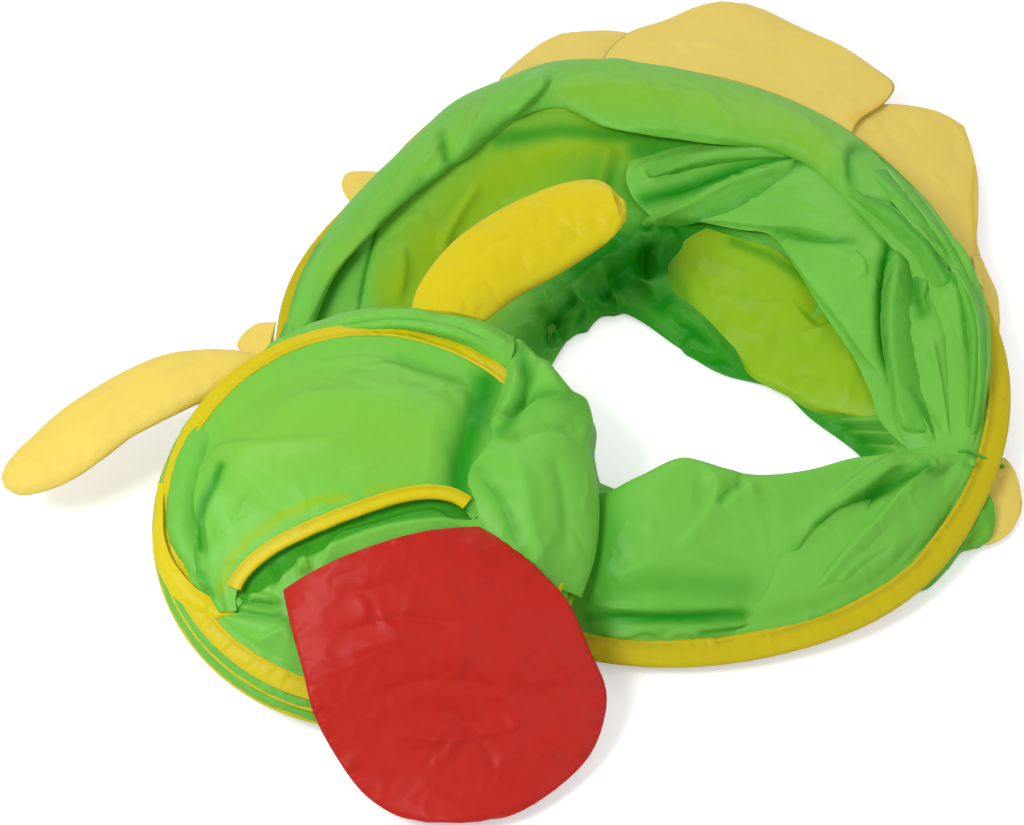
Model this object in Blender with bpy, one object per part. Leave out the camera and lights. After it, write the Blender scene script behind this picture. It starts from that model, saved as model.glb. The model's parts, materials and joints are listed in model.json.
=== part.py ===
"""A kids play tunnel, collapsed flat: a crawl tunnel in the form of a friendly long-eared creature.

Three large spring-wire hoops lie nested on the floor, joined by green nylon sleeves that fall inward
and leave a hole in the middle. Seven yellow fins are sewn round the top hoop. The head, a shorter
stack of three smaller hoops with a domed face, a bound mouth, a padded tongue and two padded horns,
lies over the near left of the ring. Metres, +Z up, the floor at zero. Run it in Blender 4.5.
"""

import math

import bmesh
import bpy
from mathutils import Matrix, Vector

# Cloth, and the room left between pieces that touch on the real tunnel
CLOTH = 0.0012
SEAM_ROOM = 0.0003
PAD_ROOM = 0.0007
LAYER_PITCH = 0.0030

# Body hoops: sprung a little oval, nested like cups from the base up
BODY_STEPS = 40
BODY_WIRE_RADIUS = 0.0020
BODY_CASING_WIDTH = 0.030
BODY_CROOK_RADIUS = 0.0044
BODY_LEG_ANGLE = math.radians(20)
CROOK_FACET_HALF = math.radians(20)
BASE_HOOP_RADIUS = 0.413
NEST_GROWTH = 0.016
NEST_RISE = 0.0084
MIDDLE_HOOP_RADIUS = BASE_HOOP_RADIUS + NEST_GROWTH
TOP_HOOP_RADIUS = MIDDLE_HOOP_RADIUS + NEST_GROWTH
MIDDLE_HOOP_FAR_HEIGHT = 0.0450
TOP_HOOP_FAR_HEIGHT = 0.0820
HOOP_OVAL = 0.025
HOOP_OVAL_TURN = math.radians(118)
# Where the wires are pulled in or out of round: place, half width, and how far as a share of the radius
HOOP_PULL_SHARES = (
    (math.radians(143), math.radians(20), -0.080),
    (math.radians(21), math.radians(22), -0.040),
    (math.radians(-52), math.radians(16), 0.020),
)
WIRE_SIDES = 6

# Crimp ferrules that join the ends of each wire
FERRULE_LENGTH = 0.024
FERRULE_WALL = 0.0016
FERRULE_ROOM = 0.0003
FERRULE_SIDES = 8
WIRE_END_GAP = 0.0010

# Sleeves: the hem held in a casing, and the free end sewn under the next casing
HEM_START = 0.0100
HEM_RUN = 0.0040
LANDING = 0.045
END_OVERLAP = 0.0110
RISE_DROP_SHARE = 1.6
HOLE_X = 0.070
HOLE_Y = -0.074
HOLE_HALF_LENGTH = 0.205
HOLE_HALF_WIDTH = 0.116
HOLE_TURN = math.radians(-25)
CREST_HEIGHT = 0.120
# The upper sleeve round the ring: its heights at shares of the way in, as shares of the crest's height
CREST_WAY_SHARES = (0.08, 0.16, 0.28, 0.40, 0.58, 0.78)
CREST_SHARES = (
    (math.radians(-180), (0.43, 0.40, 0.33, 0.28, 0.23, 0.17)),
    (math.radians(-150), (0.42, 0.42, 0.35, 0.28, 0.22, 0.15)),
    (math.radians(-120), (0.35, 0.36, 0.34, 0.30, 0.25, 0.18)),
    (math.radians(-100), (0.27, 0.30, 0.36, 0.41, 0.46, 0.43)),
    (math.radians(-85), (0.33, 0.48, 0.63, 0.75, 0.87, 0.87)),
    (math.radians(-70), (0.38, 0.52, 0.68, 0.81, 0.95, 1.00)),
    (math.radians(-50), (0.42, 0.53, 0.67, 0.77, 0.87, 0.87)),
    (math.radians(-36), (0.45, 0.52, 0.55, 0.53, 0.47, 0.37)),
    (math.radians(-27), (0.45, 0.47, 0.43, 0.40, 0.33, 0.23)),
    (math.radians(-12), (0.55, 0.62, 0.62, 0.58, 0.48, 0.30)),
    (math.radians(5), (0.65, 0.73, 0.70, 0.67, 0.55, 0.33)),
    (math.radians(25), (0.77, 0.82, 0.75, 0.72, 0.55, 0.30)),
    (math.radians(45), (0.85, 0.85, 0.73, 0.77, 0.52, 0.25)),
    (math.radians(75), (0.88, 0.87, 0.68, 0.67, 0.40, 0.22)),
    (math.radians(100), (0.88, 0.87, 0.65, 0.50, 0.35, 0.20)),
    (math.radians(140), (0.83, 0.80, 0.62, 0.45, 0.32, 0.18)),
    (math.radians(160), (0.67, 0.63, 0.50, 0.38, 0.28, 0.17)),
    (math.radians(180), (0.43, 0.40, 0.33, 0.28, 0.23, 0.17)),
)

# Fins: sewn to the outside of the top casing. Name, place, root width, reach, and 1 or -1 for the hand
FIN_THICKNESS = 0.0060
FIN_EDGE = 0.0020
FIN_TIP_HEIGHT = 0.0035
FIN_STEEPEST = math.radians(52)
FIN_SPREAD_SHARE = 0.16
FIN_COLUMNS = 10
FIN_ROWS = 3
FINS = (
    ("fin_1", math.radians(177), 0.070, 0.060, 1),
    ("fin_2", math.radians(144), 0.080, 0.070, 1),
    ("fin_3", math.radians(104), 0.156, 0.168, 1),
    ("fin_4", math.radians(73), 0.285, 0.248, 1),
    ("fin_5", math.radians(39), 0.220, 0.148, -1),
    ("fin_6", math.radians(11), 0.098, 0.050, -1),
    ("fin_7", math.radians(-34), 0.070, 0.060, 1),
)
FIN_OUTLINE_SHARES = (
    (-0.50, 0.12),
    (-0.42, 0.50),
    (-0.28, 0.80),
    (-0.08, 0.97),
    (0.10, 1.00),
    (0.27, 0.95),
    (0.42, 0.84),
    (0.50, 0.66),
)

# Tie cord hooked round the top casing, with its knot
TIE_CHORD = 3
TIE_ANGLE = -math.tau * TIE_CHORD / BODY_STEPS
TIE_RADIUS = 0.0020
TIE_SIDES = 6
KNOT_RADIUS = 0.0060
TIE_TURNS = tuple(math.radians(turn) for turn in (105, 140, 180, 220, 255))

# Head: three smaller hoops on one tilted axis
HEAD_STEPS = 32
HEAD_X = -0.315
HEAD_Y = -0.312
HEAD_HEIGHT = 0.122
HEAD_TIP_BACK = math.radians(14)
HEAD_TIP_SIDE = math.radians(2)
HEAD_WIRE_RADIUS = 0.0016
HEAD_CASING_WIDTH = 0.022
HEAD_CROOK_RADIUS = 0.0038
HEAD_LEG_ANGLE = math.radians(28)
FRONT_HOOP_RADIUS = 0.228
HEAD_HOOP_GROWTH = 0.006
HEAD_HOOP_PITCH = 0.019
HEAD_HEM_START = 0.0085
PLEAT_DEPTH = 0.020

# Face: a dome of cloth over the front hoop, split by the mouth
DOME_HEIGHT = 0.065
FACE_TURN = math.radians(22)
FACE_ROWS = 6
MOUTH_CENTRE = -0.042
MOUTH_HALF_WIDTH = 0.137
MOUTH_CORNER = -0.070
MOUTH_SPLIT = 0.0036
UPPER_LIP = -0.027
UPPER_LIP_FULLNESS = 2
LOWER_LIP = -0.052
LOWER_LIP_FULLNESS = 1
LIP_STEPS = 16
BINDING_WIDTH = 0.014
BINDING_CLOTH = 0.0010
MOUTH_WIRE_RADIUS = 0.0008

# Tongue: a padded flap hinged on the chin below the mouth.
# The shares are places along it, with its width, its sweep to the side and its drop there
TONGUE_LENGTH = 0.275
TONGUE_WIDTH = 0.303
TONGUE_SWEEP = 0.040
TONGUE_THICKNESS = 0.016
TONGUE_EDGE = 0.0050
TONGUE_DROP = 0.094
TONGUE_CENTRE = -0.020
TONGUE_SEAM = -0.084
TONGUE_RISE = 0.0083
TONGUE_COLUMNS = 10
TONGUE_SHARES = (
    (0.00, 0.73, 0.00, 0.00),
    (0.12, 0.84, 0.29, 0.03),
    (0.28, 0.93, 0.54, 0.13),
    (0.45, 1.00, 0.68, 0.35),
    (0.60, 1.00, 0.81, 0.58),
    (0.74, 0.95, 0.94, 0.78),
    (0.86, 0.80, 0.96, 0.91),
    (0.94, 0.58, 1.00, 0.97),
    (1.00, 0.32, 1.00, 1.00),
)

# Horns: padded tubes, flattened and bent, open where they join the head
HORN_LENGTH = 0.268
HORN_WIDTH = 0.098
HORN_THICKNESS = 0.036
HORN_SIDES = 12
HORN_SHELL = 0.0012
HORN_BEND = 0.036
HORN_WIDTH_SHARES = (
    (0.00, 0.62),
    (0.10, 0.76),
    (0.28, 0.93),
    (0.50, 1.00),
    (0.70, 0.97),
    (0.85, 0.82),
    (0.95, 0.55),
    (1.00, 0.26),
)
LEFT_HORN_ANGLE = math.radians(139)
LEFT_HORN_HEADING = math.radians(197)
LEFT_HORN_PITCH = math.radians(-18)
LEFT_HORN_ROLL = math.radians(0)
RIGHT_HORN_ANGLE = math.radians(70)
RIGHT_HORN_HEADING = math.radians(42)
RIGHT_HORN_PITCH = math.radians(10)
RIGHT_HORN_ROLL = math.radians(22)
HORN_ROOT_ROOM = -0.0002

# The head's hinge line runs to the far side through here, where the neck leaves the ring
HEAD_HINGE = (0, -0.300, 0.050)

# The horn's hinge line lies along the top of its root
HORN_ROOT_RISE = HORN_THICKNESS * HORN_WIDTH_SHARES[0][1] ** (3 / 2) / 2

# Neck: the gathered bulge of sleeve beside the head
NECK_START = math.radians(-34)
NECK_END = math.radians(50)
NECK_STEPS = 12
NECK_BULGE = 0.016
NECK_HEIGHT = 0.092
NECK_FOOT = -0.0541
NECK_SIDES = 8

# The neck's fold over the right of the face: its inner edge by angle, as shares of the front hoop's radius
NECK_FOLD_SWELL = 0.022
NECK_FOLD_RISE = 0.0030
NECK_FOLD_EDGE = 0.0024
NECK_FOLD_COLUMNS = 5
NECK_FOLD_SHARES = (
    (math.radians(-24), 0.98),
    (math.radians(-19), 0.86),
    (math.radians(-12), 0.70),
    (math.radians(-3), 0.52),
    (math.radians(8), 0.44),
    (math.radians(20), 0.46),
    (math.radians(32), 0.60),
    (math.radians(43), 0.82),
    (math.radians(50), 0.96),
)

# Colours as linear values
GREEN = (0.205, 0.523, 0.088, 1)
YELLOW = (0.768, 0.577, 0.045, 1)
PALE_YELLOW = (0.823, 0.617, 0.108, 1)
RED = (0.500, 0.025, 0.013, 1)
STEEL = (0.56, 0.57, 0.58, 1)
WADDING = (0.80, 0.80, 0.78, 1)


def clear_scene():
    """Removes what the start-up file holds."""
    for thing in list(bpy.data.objects):
        bpy.data.objects.remove(thing, do_unlink=True)


def make_material(name, colour, roughness, metallic=0):
    """One Principled material."""
    material = bpy.data.materials.new(name)
    material.use_nodes = True
    shader = material.node_tree.nodes["Principled BSDF"]
    shader.inputs["Base Color"].default_value = colour
    shader.inputs["Roughness"].default_value = roughness
    shader.inputs["Metallic"].default_value = metallic
    material.diffuse_color = colour
    return material


def green_nylon():
    return make_material("green_nylon", GREEN, 0.55)


def yellow_nylon():
    return make_material("yellow_nylon", YELLOW, 0.55)


def pale_yellow_nylon():
    return make_material("pale_yellow_nylon", PALE_YELLOW, 0.60)


def red_nylon():
    return make_material("red_nylon", RED, 0.55)


def spring_steel():
    return make_material("spring_steel", STEEL, 0.30, 1)


def polyester_wadding():
    return make_material("polyester_wadding", WADDING, 0.95)


def add_solid(name, points, faces, material, parent=None, place=None):
    """Makes one closed, outward-facing object from points and faces in its own space."""
    mesh = bpy.data.meshes.new(name)
    mesh.from_pydata([tuple(p) for p in points], [], faces)
    shape = bmesh.new()
    shape.from_mesh(mesh)
    bmesh.ops.recalc_face_normals(shape, faces=shape.faces)
    shape.to_mesh(mesh)
    shape.free()
    mesh.materials.append(material)
    thing = bpy.data.objects.new(name, mesh)
    bpy.context.scene.collection.objects.link(thing)
    thing.parent = parent
    if place is not None:
        thing.matrix_local = place
    return thing


def add_empty(name, place, parent=None):
    """An empty that carries a body or stands on a joint's axis."""
    empty = bpy.data.objects.new(name, None)
    bpy.context.scene.collection.objects.link(empty)
    empty.parent = parent
    empty.matrix_local = place
    return empty


def ring_loft(sections):
    """Points and faces of a closed ring through closed sections with the same number of points."""
    points = [p for section in sections for p in section]
    sides = len(sections[0])
    faces = []
    for i in range(len(sections)):
        j = (i + 1) % len(sections)
        for k in range(sides):
            m = (k + 1) % sides
            faces.append((i * sides + k, j * sides + k, j * sides + m, i * sides + m))
    return points, faces


def capped_loft(sections):
    """Points and faces of a loft through closed sections, with a flat cap on each end."""
    points = [p for section in sections for p in section]
    sides = len(sections[0])
    faces = []
    for i in range(len(sections) - 1):
        for k in range(sides):
            m = (k + 1) % sides
            faces.append((i * sides + k, (i + 1) * sides + k, (i + 1) * sides + m, i * sides + m))
    faces.append(tuple(range(sides)))
    faces.append(tuple((len(sections) - 1) * sides + k for k in range(sides)))
    return points, faces


def open_shell(outer, inner):
    """A cup between two matching lofts, closed at the far end and open at the first section."""
    sides = len(outer[0])
    rows = len(outer)
    points = [p for section in outer for p in section]
    points += [p for section in inner for p in section]
    start = rows * sides
    faces = []
    for i in range(rows - 1):
        for k in range(sides):
            m = (k + 1) % sides
            faces.append((i * sides + k, (i + 1) * sides + k, (i + 1) * sides + m, i * sides + m))
            a = start + i * sides
            b = a + sides
            faces.append((a + m, b + m, b + k, a + k))
    last = (rows - 1) * sides
    faces.append(tuple(last + k for k in range(sides)))
    faces.append(tuple(start + last + k for k in reversed(range(sides))))
    for k in range(sides):
        m = (k + 1) % sides
        faces.append((k, m, start + m, start + k))
    return points, faces


def grid_normals(grid, closed):
    """The unit normal at each point of a grid of points."""
    rows = len(grid)
    normals = []
    for i in range(rows):
        line = []
        before = grid[i - 1] if closed or i else grid[i]
        after = grid[(i + 1) % rows] if closed or i < rows - 1 else grid[i]
        for j in range(len(grid[i])):
            along = grid[i][min(j + 1, len(grid[i]) - 1)] - grid[i][max(j - 1, 0)]
            across = after[j] - before[j]
            line.append(across.cross(along).normalized())
        normals.append(line)
    return normals


def sheet_solid(grid, thickness, closed):
    """Thickens a grid of points into one closed solid. thickness is a size, or a grid of sizes.

    Both faces are split along the same diagonals, so that they never cross where the sheet twists.
    """
    normals = grid_normals(grid, closed)
    rows = len(grid)
    columns = len(grid[0])
    points = []
    for side in (1, -1):
        for i in range(rows):
            for j in range(columns):
                size = thickness if isinstance(thickness, float) else thickness[i][j]
                points.append(grid[i][j] + normals[i][j] * (side * size / 2))
    under = rows * columns
    faces = []
    for i in range(rows if closed else rows - 1):
        m = (i + 1) % rows
        for j in range(columns - 1):
            quad = (i * columns + j, m * columns + j, m * columns + j + 1, i * columns + j + 1)
            one_way = (grid[i][j] - grid[m][j + 1]).length
            other_way = (grid[m][j] - grid[i][j + 1]).length
            if other_way < one_way:
                quad = quad[1:] + quad[:1]
            for triangle in (quad[:3], (quad[0], quad[2], quad[3])):
                faces.append(triangle)
                faces.append(tuple(under + p for p in reversed(triangle)))
        for j in (0, columns - 1):
            faces.append((i * columns + j, m * columns + j, under + m * columns + j, under + i * columns + j))
    if not closed:
        for i in (0, rows - 1):
            for j in range(columns - 1):
                a = i * columns + j
                faces.append((a, a + 1, under + a + 1, under + a))
    return points, faces


def interpolate(table, share):
    """The value at a share along a table of (share, value) rows."""
    for (a, low), (b, high) in zip(table, table[1:]):
        if share <= b:
            return low + (high - low) * max(0, share - a) / (b - a)
    return table[-1][1]


def smooth(value):
    """An eased step from 0 to 1."""
    value = min(1, max(0, value))
    return value * value * (3 - 2 * value)


class Hoop:
    """A wire hoop with its casing: radii, tilt, and places on its casing."""

    def __init__(self, name, radius, frame, steps, wire, crook, width, leg_angle, oval=0):
        self.name = name
        self.radius = radius
        self.frame = frame
        self.steps = steps
        self.wire = wire
        self.crook = crook
        self.outer = crook + CLOTH
        self.leg_end = width - self.outer
        self.leg_angle = leg_angle
        self.oval = oval
        self.leg_gap = CLOTH / 2 + SEAM_ROOM
        self.leg_face = self.leg_gap + CLOTH

    def radius_at(self, angle):
        """The wire's radius at an angle. A round hoop has no oval share, and isn't pulled."""
        if not self.oval:
            return self.radius
        share = 1 + self.oval * math.cos(2 * (angle - HOOP_OVAL_TURN))
        for centre, half, pull in HOOP_PULL_SHARES:
            share += pull * math.exp(-((math.remainder(angle - centre, math.tau) / half) ** 2))
        return self.radius * share

    def local(self, angle, inward, lift):
        """A point in the hoop's own space. inward runs along the casing's legs, lift across them."""
        out = self.radius_at(angle) - inward * math.cos(self.leg_angle) + lift * math.sin(self.leg_angle)
        up = inward * math.sin(self.leg_angle) + lift * math.cos(self.leg_angle)
        return Vector((out * math.cos(angle), out * math.sin(angle), up))

    def place(self, angle, inward, lift):
        """The same point in the space that holds the hoop."""
        return self.frame @ self.local(angle, inward, lift)

    def on_facet(self, angle, inward):
        """A point between the legs on the straight run between two vertex angles."""
        step = math.tau / self.steps
        whole = math.floor(angle / step - 1 / 2)
        low = (whole + 1 / 2) * step
        near = self.local(low, inward, 0)
        far = self.local(low + step, inward, 0)
        return near.lerp(far, (angle - low) / step)

    def under_leg(self, inward):
        """How far the lower leg's outer face lies below the legs' middle."""
        corner = self.outer / math.cos(CROOK_FACET_HALF)
        return corner + (self.leg_face - corner) * inward / self.leg_end

    def angles(self):
        """Vertex angles, with the middle of one chord at the ferrule, at angle zero."""
        return [math.tau * (i + 0.5) / self.steps for i in range(self.steps)]

    def crook_arc(self, radius):
        """Four facets round the wire, one of them level when the hoop lies flat."""
        half = CROOK_FACET_HALF
        first = -math.pi / 2 - self.leg_angle + half
        corner = radius / math.cos(half)
        return [
            (corner * math.cos(first - 2 * half * k), corner * math.sin(first - 2 * half * k))
            for k in range(5)
        ]

    def section(self):
        """The casing's U-shaped section as (inward, lift) pairs."""
        outer = self.crook_arc(self.outer)
        inner = self.crook_arc(self.crook)
        return (
            [(self.leg_end, -self.leg_face)]
            + outer
            + [(self.leg_end, self.leg_face), (self.leg_end, self.leg_gap)]
            + inner[::-1]
            + [(self.leg_end, -self.leg_gap)]
        )


def wire_object(hoop, material, parent):
    """The spring wire: one turn, its two ends meeting inside the ferrule."""
    angles = hoop.angles()
    path = [hoop.local(a, 0, 0) for a in angles]
    first = path[0]
    last = path[-1]
    middle = (first + last) / 2
    along = (first - last).normalized()
    path = [middle + along * WIRE_END_GAP / 2] + path + [middle - along * WIRE_END_GAP / 2]
    sections = []
    for i, point in enumerate(path):
        before = path[max(i - 1, 0)]
        after = path[min(i + 1, len(path) - 1)]
        ahead = (after - before).normalized()
        out = Vector((ahead.y, -ahead.x, 0))
        ring = []
        for k in range(WIRE_SIDES):
            turn = math.tau * k / WIRE_SIDES
            ring.append(point + out * (hoop.wire * math.cos(turn)) + Vector((0, 0, hoop.wire * math.sin(turn))))
        sections.append(ring)
    points, faces = capped_loft(sections)
    return add_solid(hoop.name + "_wire", points, faces, material, parent, hoop.frame)


def ferrule_object(hoop, material, parent):
    """The crimp sleeve over the wire's ends: a short open tube on the chord at angle zero."""
    angles = hoop.angles()
    first = hoop.local(angles[0], 0, 0)
    last = hoop.local(angles[-1], 0, 0)
    middle = (first + last) / 2
    along = (first - last).normalized()
    out = Vector((along.y, -along.x, 0))
    corner = math.cos(math.pi / FERRULE_SIDES)
    bore = (hoop.wire + FERRULE_ROOM) / corner
    outside = bore + FERRULE_WALL
    sections = []
    for side, radius in ((-1, outside), (1, outside), (1, bore), (-1, bore)):
        ring = []
        for k in range(FERRULE_SIDES):
            turn = math.tau * (k + 0.5) / FERRULE_SIDES
            spoke = out * math.cos(turn) + Vector((0, 0, math.sin(turn)))
            ring.append(middle + along * (side * FERRULE_LENGTH / 2) + spoke * radius)
        sections.append(ring)
    points, faces = ring_loft(sections)
    return add_solid(hoop.name + "_ferrule", points, faces, material, parent, hoop.frame)


def casing_object(hoop, material, parent):
    """The binding folded over the wire, with two legs that hold a sleeve's hem."""
    sections = [[hoop.local(a, *corner) for corner in hoop.section()] for a in hoop.angles()]
    points, faces = ring_loft(sections)
    return add_solid(hoop.name + "_casing", points, faces, material, parent, hoop.frame)


def hoop_objects(hoop, steel, yellow, parent):
    """One hoop's wire, ferrule and casing."""
    wire_object(hoop, steel, parent)
    ferrule_object(hoop, steel, parent)
    casing_object(hoop, yellow, parent)


def tilted(near, far, radius):
    """The frame of a body hoop from the heights of its nearest and farthest points."""
    tip = math.asin((far - near) / (2 * radius))
    return Matrix.Translation((0, 0, (near + far) / 2)) @ Matrix.Rotation(tip, 4, "X")


def body_hoop(name, radius, frame):
    return Hoop(
        name,
        radius,
        frame,
        BODY_STEPS,
        BODY_WIRE_RADIUS,
        BODY_CROOK_RADIUS,
        BODY_CASING_WIDTH,
        BODY_LEG_ANGLE,
        HOOP_OVAL,
    )


def body_hoops():
    """The base, middle and top hoops."""
    near = BODY_CROOK_RADIUS + CLOTH
    base = body_hoop("base_hoop", BASE_HOOP_RADIUS, Matrix.Translation((0, 0, near)))
    near += NEST_RISE
    frame = tilted(near, MIDDLE_HOOP_FAR_HEIGHT, MIDDLE_HOOP_RADIUS)
    middle = body_hoop("middle_hoop", MIDDLE_HOOP_RADIUS, frame)
    near += NEST_RISE
    frame = tilted(near, TOP_HOOP_FAR_HEIGHT, TOP_HOOP_RADIUS)
    top = body_hoop("top_hoop", TOP_HOOP_RADIUS, frame)
    return base, middle, top


def head_frame():
    """The head's axis: its X to the side, its Y up the slope, its Z out of the face."""
    tip = Matrix.Rotation(HEAD_TIP_SIDE, 4, "Y") @ Matrix.Rotation(HEAD_TIP_BACK, 4, "X")
    return Matrix.Translation((HEAD_X, HEAD_Y, HEAD_HEIGHT)) @ tip


def head_hoops():
    """The front, middle and back hoops of the head."""
    hoops = []
    for i, name in enumerate(("head_front_hoop", "head_middle_hoop", "head_back_hoop")):
        frame = head_frame() @ Matrix.Translation((0, 0, -i * HEAD_HOOP_PITCH))
        radius = FRONT_HOOP_RADIUS + i * HEAD_HOOP_GROWTH
        hoop = Hoop(
            name,
            radius,
            frame,
            HEAD_STEPS,
            HEAD_WIRE_RADIUS,
            HEAD_CROOK_RADIUS,
            HEAD_CASING_WIDTH,
            HEAD_LEG_ANGLE,
        )
        hoops.append(hoop)
    return hoops


def hole_point(angle, height):
    """A point on the edge of the hole in the middle of the ring."""
    long_way = HOLE_HALF_LENGTH * math.cos(angle - HOLE_TURN)
    wide_way = HOLE_HALF_WIDTH * math.sin(angle - HOLE_TURN)
    x = HOLE_X + long_way * math.cos(HOLE_TURN) - wide_way * math.sin(HOLE_TURN)
    y = HOLE_Y + long_way * math.sin(HOLE_TURN) + wide_way * math.cos(HOLE_TURN)
    return Vector((x, y, height))


def crest_heights(angle):
    """The upper sleeve's heights at each share of its way in, at an angle round the ring."""
    turn = math.remainder(angle, math.tau)
    for (low, start), (high, end) in zip(CREST_SHARES, CREST_SHARES[1:]):
        if turn <= high:
            break
    ease = smooth((turn - low) / (high - low))
    return [CREST_HEIGHT * (a + (b - a) * ease) for a, b in zip(start, end)]


def hem_run(hoop):
    """How far a sleeve runs on past a casing's legs, so that it clears the hoops nested inside."""
    return HEM_RUN + hoop.radius - BASE_HOOP_RADIUS


def inward_way(angle, start):
    """The level direction from a place on the ring to the hole's edge."""
    span = hole_point(angle, 0) - start
    span.z = 0
    return span.normalized()


def landing_point(angle, hoop, start, height):
    """Where a sleeve that leaves a hoop comes down onto its layer."""
    run = LANDING + hoop.radius - BASE_HOOP_RADIUS
    point = start + inward_way(angle, start) * run
    point.z = height
    return point


def sleeve_line(angle, lower, upper, layer, crest):
    """A sleeve's path: hem in the lower casing, in to the hole, round, and out under the upper one."""
    low_layer = CLOTH / 2 + layer * LAYER_PITCH
    high_layer = low_layer + LAYER_PITCH
    leave = lower.place(angle, lower.leg_end + hem_run(lower), 0)
    way = inward_way(angle, leave)
    line = [
        lower.place(angle, HEM_START, 0),
        lower.place(angle, lower.leg_end, 0),
        leave,
    ]
    landing = landing_point(angle, lower, leave, low_layer)
    line.append(landing)
    edge = hole_point(angle, low_layer)
    for share in (1 / 3, 2 / 3):
        line.append(landing.lerp(edge, share))
    line.append(edge - way * LAYER_PITCH)
    line.append(edge + Vector((0, 0, LAYER_PITCH / 2)))
    back = edge - way * LAYER_PITCH
    back.z = high_layer
    line.append(back)
    drop = upper.under_leg(upper.leg_end) + SEAM_ROOM + CLOTH / 2
    arrive = upper.place(angle, upper.leg_end, -drop)
    start = upper.leg_end - END_OVERLAP
    end_drop = upper.under_leg(start) + SEAM_ROOM + CLOTH / 2
    end = upper.place(angle, start, -end_drop)
    if crest is None:
        flat = Vector((landing.x, landing.y, high_layer))
        line.append(back.lerp(flat, 1 / 3))
        line.append(back.lerp(flat, 2 / 3))
        rise = upper.place(angle, upper.leg_end + hem_run(upper), 0) - Vector((0, 0, drop * RISE_DROP_SHARE))
        line.append(landing_point(angle, upper, rise, high_layer))
        line.append(rise)
    else:
        for share, height in reversed(list(zip(CREST_WAY_SHARES, crest))):
            point = arrive.lerp(back, share)
            point.z = height
            line.append(point)
    line.append(arrive)
    line.append(end)
    return line


def sleeve_object(name, lower, upper, layer, crested, material, parent):
    """A cloth sleeve between two hoops, fallen inward in one pleat."""
    grid = []
    for angle in lower.angles():
        crest = crest_heights(angle) if crested else None
        grid.append(sleeve_line(angle, lower, upper, layer, crest))
    points, faces = sheet_solid(grid, CLOTH, True)
    return add_solid(name, points, faces, material, parent)


def pleat_object(name, lower, upper, material, parent):
    """A short cloth pleat between two head hoops."""
    grid = []
    drop = upper.under_leg(upper.leg_end) + SEAM_ROOM + CLOTH / 2
    start = upper.leg_end - END_OVERLAP / 2
    end_drop = upper.under_leg(start) + SEAM_ROOM + CLOTH / 2
    for angle in lower.angles():
        hem = lower.place(angle, HEAD_HEM_START, 0)
        leave = lower.place(angle, lower.leg_end + HEM_RUN, 0)
        arrive = upper.place(angle, upper.leg_end, -drop)
        end = upper.place(angle, start, -end_drop)
        inward = lower.frame.to_3x3() @ Vector((-math.cos(angle), -math.sin(angle), 0))
        turn = (leave + arrive) / 2 + inward * PLEAT_DEPTH
        low_turn = leave.lerp(turn, 3 / 4)
        high_turn = arrive.lerp(turn, 3 / 4)
        grid.append([hem, leave, low_turn, turn, high_turn, arrive, end])
    points, faces = sheet_solid(grid, CLOTH, True)
    return add_solid(name, points, faces, material, parent)


def fin_object(name, angle, width, reach, hand, hoop, material, parent):
    """A fin on a hinge along the top edge of its root: flat, padded a little, sewn round the casing."""
    crook = hoop.outer / math.cos(CROOK_FACET_HALF) + SEAM_ROOM
    chord = math.cos(math.pi / hoop.steps)
    arm = hoop.radius_at(angle) + crook
    drop = max(0, hoop.place(angle, -crook, 0).z - FIN_TIP_HEIGHT)
    pitch = math.asin(min(drop / reach, math.sin(FIN_STEEPEST)))
    root_out = (crook + FIN_EDGE / 2 * math.sin(pitch)) / chord
    step = math.pi / hoop.steps
    ahead = (hoop.place(angle - step, -crook, 0) - hoop.place(angle + step, -crook, 0)).normalized()
    outward = Vector((0, 0, 1)).cross(ahead).normalized()
    turn = Matrix((ahead, outward, ahead.cross(outward))).transposed()
    lean = Matrix.Rotation(-pitch, 3, "X")
    seat = hoop.place(angle, -root_out, 0) + turn @ lean @ Vector((0, 0, FIN_EDGE / 2))
    empty = add_empty(name + "_hinge", Matrix.Translation(seat) @ turn.to_4x4(), parent)
    turn_back = turn.inverted()
    grid = []
    sizes = []
    for i in range(FIN_COLUMNS + 1):
        share = i / FIN_COLUMNS - 1 / 2
        along = share * width
        root = turn_back @ (hoop.place(angle - along / arm, -root_out, 0) - seat)
        height = interpolate(FIN_OUTLINE_SHARES, share * hand) * reach
        line = []
        size_line = []
        for j in range(FIN_ROWS + 1):
            part = j / FIN_ROWS
            line.append(root + lean @ Vector((along * FIN_SPREAD_SHARE * part, height * part, 0)))
            rim = min(1, 4 * part * (1 - part) + 1 / 4) * (1 - (2 * share) ** 4)
            size_line.append(FIN_EDGE + (FIN_THICKNESS - FIN_EDGE) * rim)
        grid.append(line)
        sizes.append(size_line)
    points, faces = sheet_solid(grid, sizes, False)
    return add_solid(name, points, faces, material, empty)


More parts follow.
